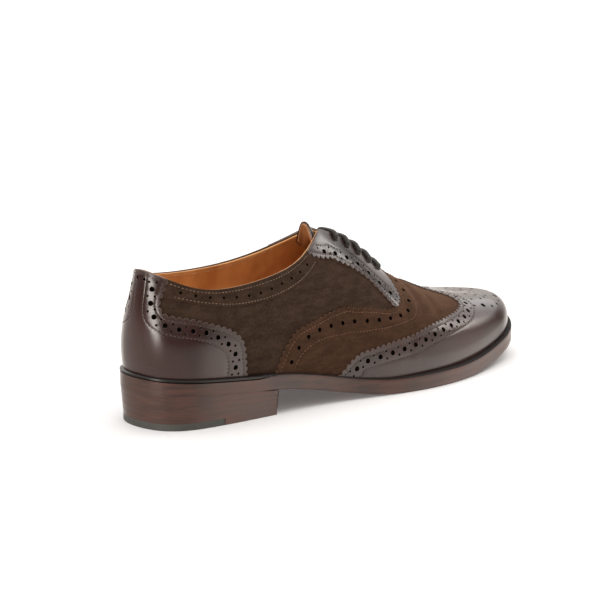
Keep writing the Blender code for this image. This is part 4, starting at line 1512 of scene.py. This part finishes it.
def make_lace_bar(number, station, height):
    """A braided round tube along a bar's route, closed at its hidden ends."""
    route, gone = lace_route(station, height)
    run = unit(np.gradient(route, axis=0))
    across = unit(np.cross(run, [1.0, 0, 0]))
    over = np.cross(run, across)
    turn = 2 * math.pi * np.arange(LACE_SIDES) / LACE_SIDES
    phase = 2 * math.pi * gone[:, None] / BRAID_PITCH
    braid = np.sin(BRAID_TURNS * turn + phase) * np.sin(BRAID_TURNS * turn - phase)
    radius = LACE_SIZE / 2 * (1 - BRAID_DEPTH + BRAID_DEPTH * braid)
    ring = across[:, None] * np.cos(turn)[:, None] + over[:, None] * np.sin(turn)[:, None]
    points = (route[:, None] + ring * radius[..., None]).reshape(-1, 3)
    end = np.arange(LACE_SIDES)
    faces = quads(len(route), LACE_SIDES, closed=True)
    faces += [end[::-1].tolist(), ((len(route) - 1) * LACE_SIDES + end).tolist()]
    # The braid's height is stored for the lace's finish, which paints shade in its hollows.
    made = mesh_piece(f"lace_bar_{number}_braid", points, faces, {"braid": (braid.ravel() + 1) / 2})
    weld(made)
    dress(made, LACE, "lace_cotton", f"lace_bar_{number}")


for bar, (bar_station, bar_height) in enumerate(EYELETS, start=1):
    make_lace_bar(bar, bar_station, bar_height)

# %% [markdown]
# ## Sole and heel
# Each layer of the sole is a profile carried round the sole's outline. Its rows run from the middle
# line of one face, out over the edge and back to the middle line of the other, so the layer closes
# when the doubled middle line is welded. The welt ends in a black bead round the heel and in a finely
# notched rim round the forepart, and faint grooves part the heel's lifts.

# %% Carrying a profile round the sole
SOLE_COLUMNS = 450
WELT_COLUMNS = 880
HEEL_COLUMNS = 150
BREAST_COLUMNS = 13
NOTCH_PITCH = 0.0019
NOTCH_DEPTH = 0.00035
SOLE_INSET = 0.0001
HEEL_TAPER = 0.0015
SEALED = 0.00003
HEEL_END = 3.22
BEAD = 0.0018
BEAD_ENDS = (2.75, 3.05)
BEAD_FADE = 0.014
LAYER_WELD = 4e-6
LAYER_SMOOTH = 40
EVEN_READS = 4000


def even_stations(last, count):
    """Stations from the heel's back that divide a stretch of the sole's edge evenly, and its length."""
    fine = np.linspace(0, last, EVEN_READS)
    gone = travelled(sole_outline(fine))
    return np.interp(np.linspace(0, gone[-1], count + 1), gone, fine), gone[-1]


def forward(loop):
    """0 round the heel, 1 from the waist forward."""
    return np.clip((from_heel(loop) - BEAD_ENDS[0]) / (BEAD_ENDS[1] - BEAD_ENDS[0]), 0, 1)


def layer(name, stations, rows, breast=False):
    """A closed layer. A row is (share of the way out, inset, height(x), how dark).

    The stations run from the heel's back to the front on the outer side, and the inner side mirrors
    them. A layer with a breast stops at the heel's front in a flat face. An inset may be a function
    of the station.
    """
    inner = LAP - stations[::-1]
    loop = np.concatenate([inner, stations[1:] + LAP] if breast else [stations, inner[1:]])
    front = BREAST if breast else math.inf
    middle = (sole_outline(loop) + sole_outline(LAP - loop)) / 2
    middle[:, 0] = np.minimum(middle[:, 0], front)
    points, shades = [], []
    for share, inset, height, dark in rows:
        edge = sole_outline(loop, inset(loop) if callable(inset) else np.full_like(loop, inset))
        edge[:, 0] = np.minimum(edge[:, 0], front)
        spine = middle.copy()
        spine[:, 0] = np.clip(middle[:, 0], edge[:, 0].min(), edge[:, 0].max())
        ring = spine + (edge - spine) * share
        if breast:
            steps = np.linspace(0, 1, BREAST_COLUMNS + 1)[1:, None]
            ring = np.concatenate([ring, ring[-1] + (ring[0] - ring[-1]) * steps])
        points.append(np.column_stack([ring, height(ring[:, 0])]) - CENTRE)
        shades.append(np.full(len(ring), dark))
    wide = len(points[0])
    ahead = np.tile(np.append(forward(loop), np.ones(wide - len(loop))), len(rows))
    marks = {"groove": np.concatenate(shades), "fore": ahead}
    made = mesh_piece(name, np.concatenate(points), quads(len(rows), wide), marks)
    weld(made, LAYER_WELD)
    facing(made, lambda centre: centre)
    print(name, "faces", len(made.data.polygons))
    return smoothed(made, LAYER_SMOOTH)


def above(base, offset):
    """A height function shifted up."""
    return lambda x: base(x) + offset


def between_heights(low, high, share):
    """A height function part of the way from one to another."""
    return lambda x: low(x) + (high(x) - low(x)) * share


# %% Outsole and welt
CHANNEL_IN = 0.0050
CHANNEL_DEPTH = 0.0004
CHANNEL_LIP = 0.0012
CHANNEL_FLOOR = 0.0004
BEAD_TOP = 0.0004


def make_outsole():
    """The outsole: a stitched channel underneath, and a corner that is rounded where the heel is not."""
    under, over = sole_under, above(sole_under, SOLE - SEALED)
    groove = above(under, CHANNEL_DEPTH)
    edge = SOLE_INSET

    def corner(inset):
        return lambda loop: edge + inset * forward(loop)

    rows = [
        (0.0, edge, under, 0),
        (1.0, CHANNEL_IN + CHANNEL_LIP, under, 0),
        (1.0, CHANNEL_IN + CHANNEL_FLOOR, groove, 1),
        (1.0, CHANNEL_IN - CHANNEL_FLOOR, groove, 1),
        (1.0, CHANNEL_IN - CHANNEL_LIP, under, 0),
        (1.0, corner(0.0009), under, 0.6),
        (1.0, corner(0.0003), above(under, 0.0003), 0.6),
        (1.0, edge, above(under, 0.0008), 0),
        (1.0, edge, above(under, SOLE / 2), 0),
        (1.0, edge, over, 0),
        (0.0, edge, over, 0),
    ]
    stations, _ = even_stations(TOE, SOLE_COLUMNS)
    dress(layer("outsole_leather", stations, rows), SOLE_EDGE, "sole_leather", "outsole")


def make_welt():
    """The welt: a black bead round the heel, and a flat notched rim from the waist forward."""
    stations, length = even_stations(TOE, WELT_COLUMNS)
    places = np.linspace(0, length, len(stations))
    base, top = above(sole_under, SOLE), above(sole_under, SOLE + WELT)

    def rim(inset, on_bead=0.0, notch=0.0):
        """An inset with so much more on the bead, and so much more in the notches."""
        def at(loop):
            gone = np.interp(np.where(loop > TOE, LAP - loop, loop), stations, places)
            wave = 0.5 - 0.5 * np.cos(2 * math.pi * gone / NOTCH_PITCH)
            return inset + on_bead * (1 - forward(loop)) + notch * wave * forward(loop)

        return at

    def bead_foot(x):
        return top(x) - BEAD_TOP - BEAD * np.clip((BREAST - x) / BEAD_FADE, 0, 1)

    rows = [
        (0.0, 0.0, base, 0),
        (1.0, 0.0, base, 0),
        (1.0, 0.0, between_heights(base, bead_foot, 0.5), 0),
        (1.0, 0.0, above(bead_foot, -0.0002), 0),
        (1.0, rim(0.0001, 0.0004), bead_foot, 1),
        (1.0, rim(0.0001, -0.0003), between_heights(bead_foot, top, 0.3), 1),
        (1.0, rim(0.0002, -0.0003, NOTCH_DEPTH), between_heights(bead_foot, top, 0.7), 1),
        (1.0, rim(0.0008, 0.0, NOTCH_DEPTH), top, 1),
        (1.0, 0.0020, above(top, 0.0001), 1),
        (1.0, 0.0030, top, 1),
        (0.0, 0.0, top, 1),
    ]
    dress(layer("welt_rim", stations, rows), WELT_EDGE, "welt_leather", "welt")


make_outsole()
make_welt()

# %% Heel
LIFTS = 4
LIFT_GROOVE = 0.00006
LIFT_SHADE = 0.3
LIFT_ROWS = ((0.08, 0.0, 0.0), (0.92, 0.0, 0.0), (1.0, LIFT_GROOVE, LIFT_SHADE))


def make_heel():
    """The stacked lifts, parted by fine grooves."""
    low_edge = SOLE_INSET + HEEL_TAPER
    under, over = above(np.zeros_like, TOP_PIECE + SEALED), above(sole_under, -SEALED)
    rows = [(0.0, low_edge, under, 0), (1.0, low_edge, under, LIFT_SHADE)]
    for number in range(LIFTS):
        for part, inset, dark in LIFT_ROWS:
            share = (number + part) / LIFTS
            taper = low_edge - HEEL_TAPER * share
            rows.append((1.0, taper + inset, between_heights(under, over, share), dark))
    rows.append((0.0, SOLE_INSET, over, 0))
    stations, _ = even_stations(HEEL_END, HEEL_COLUMNS)
    dress(layer("heel_stack", stations, rows, breast=True), SOLE_EDGE, "sole_leather", "heel_lifts")


make_heel()

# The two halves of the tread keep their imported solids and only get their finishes.
for tread, tread_finish in (("heel_rubber_tip", RUBBER), ("heel_top_piece", SOLE_EDGE)):
    tread_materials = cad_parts[tread].data.materials
    tread_materials.clear()
    tread_materials.append(tread_finish)
    print("finished", tread)

# %% [markdown]
# ## Studio
# The shoe stands on a plain white floor. One very wide soft light hangs over it. Polished leather shows
# what is around it: a white wall beyond the shoe pales the toe and the facings, two small bright boxes
# put the streaks on the heel and on the facing's rear, and the dim room keeps the sides dark. The
# camera is long and low, behind the shoe.

# %% Floor, lights and camera
VIEW_TURN = -43.0
VIEW_RISE = 13.0
VIEW_DISTANCE = 1.85
VIEW_TARGET = Vector((-0.0015, 0.0001, 0.045))
LENS = 184.4
SENSOR = 36.0
CLIP = (0.05, 60.0)
FRAME_SHIFT = (-0.042, 0.0177)
OVERHEAD_SPREAD = 103.0
OVERHEAD_POWER = 3.0
OVERHEAD_FROM = (0.25, 0.20, 0.90)
WHITE = (1.0, 1.0, 1.0)
ROOM_DIM = 0.05
ROOM_TINT = (1.0, 0.935, 0.875)
FLOOR_SIZE = 24.0
FLOOR_WHITE = (0.92, 0.92, 0.92)
FLOOR_GLOW = 0.08
SURROUNDINGS = {
    "wall": ((0.68, 0.73, 0.0), 0.66, 0.88, 0.84),
    "ground": ((0.0, 0.0, -1.0), 0.0, 0.08, 0.75),
    "near_floor": ((0.76, -0.62, -0.19), 0.72, 0.93, 1.2),
    "fill": ((-0.35, -0.45, 0.82), 0.60, 0.95, 0.7),
    "heel_box": ((-0.99, -0.02, 0.13), 0.974, 0.990, 12.0),
    "side_box": ((0.84, -0.22, 0.49), 0.987, 0.997, 6.0),
}


def make_floor():
    """A wide white floor."""
    bpy.ops.mesh.primitive_plane_add(size=FLOOR_SIZE, location=(0, 0, 0))
    made = bpy.context.object
    made.name = made.data.name = "floor"
    paint, _, _ = new_finish(
        "floor_white", Roughness=0.85, Specular_IOR_Level=0.2, Base_Color=(*FLOOR_WHITE, 1.0),
        Emission_Color=(*WHITE, 1.0), Emission_Strength=FLOOR_GLOW,
    )
    made.data.materials.append(paint)
    made.visible_glossy = False


def make_overhead():
    """A very wide soft light overhead, a little beyond the shoe, the same over the whole floor."""
    bpy.ops.object.light_add(type="SUN", location=(0, 0, 2))
    made = bpy.context.object
    made.name = made.data.name = "overhead"
    made.data.angle = math.radians(OVERHEAD_SPREAD)
    made.data.energy = OVERHEAD_POWER
    made.rotation_euler = Vector(OVERHEAD_FROM).to_track_quat("Z", "Y").to_euler()


def make_surroundings():
    """What polished leather mirrors: bright things, each a direction, its two limits and its light."""
    world = bpy.data.worlds.new("studio")
    world.use_nodes = True
    tree = world.node_tree
    place = node(tree, "ShaderNodeTexCoord").outputs["Generated"]
    light = ROOM_DIM
    for towards, begins, full, bright in SURROUNDINGS.values():
        turned = node(tree, "ShaderNodeVectorMath", {"operation": "DOT_PRODUCT"})
        feed(tree, turned.inputs[0], place)
        feed(tree, turned.inputs[1], Vector(towards).normalized())
        light = total(tree, light, (ramped(tree, turned.outputs["Value"], begins, full), bright))
    seen = node(tree, "ShaderNodeLightPath").outputs["Is Camera Ray"]
    feed_all(
        tree, tree.nodes["Background"],
        Color=mixed(tree, seen, ROOM_TINT, WHITE), Strength=maths(tree, "MAXIMUM", light, seen),
    )
    bpy.context.scene.world = world


def make_camera():
    """The camera at the photo's angle to the shoe."""
    turn, rise = math.radians(VIEW_TURN), math.radians(VIEW_RISE)
    back = Vector((math.sin(turn) * math.cos(rise), -math.cos(turn) * math.cos(rise), math.sin(rise)))
    camera = bpy.data.objects.new("camera", bpy.data.cameras.new("camera"))
    bpy.context.scene.collection.objects.link(camera)
    camera.location = VIEW_TARGET + back * VIEW_DISTANCE
    camera.rotation_euler = (-back).to_track_quat("-Z", "Y").to_euler()
    camera.data.lens = LENS
    camera.data.sensor_width = SENSOR
    camera.data.shift_x, camera.data.shift_y = FRAME_SHIFT
    camera.data.clip_start, camera.data.clip_end = CLIP
    bpy.context.scene.camera = camera
    print("camera at", tuple(round(value, 3) for value in camera.location))


make_floor()
make_surroundings()
make_overhead()
bpy.context.scene.view_settings.view_transform = "Standard"
make_camera()
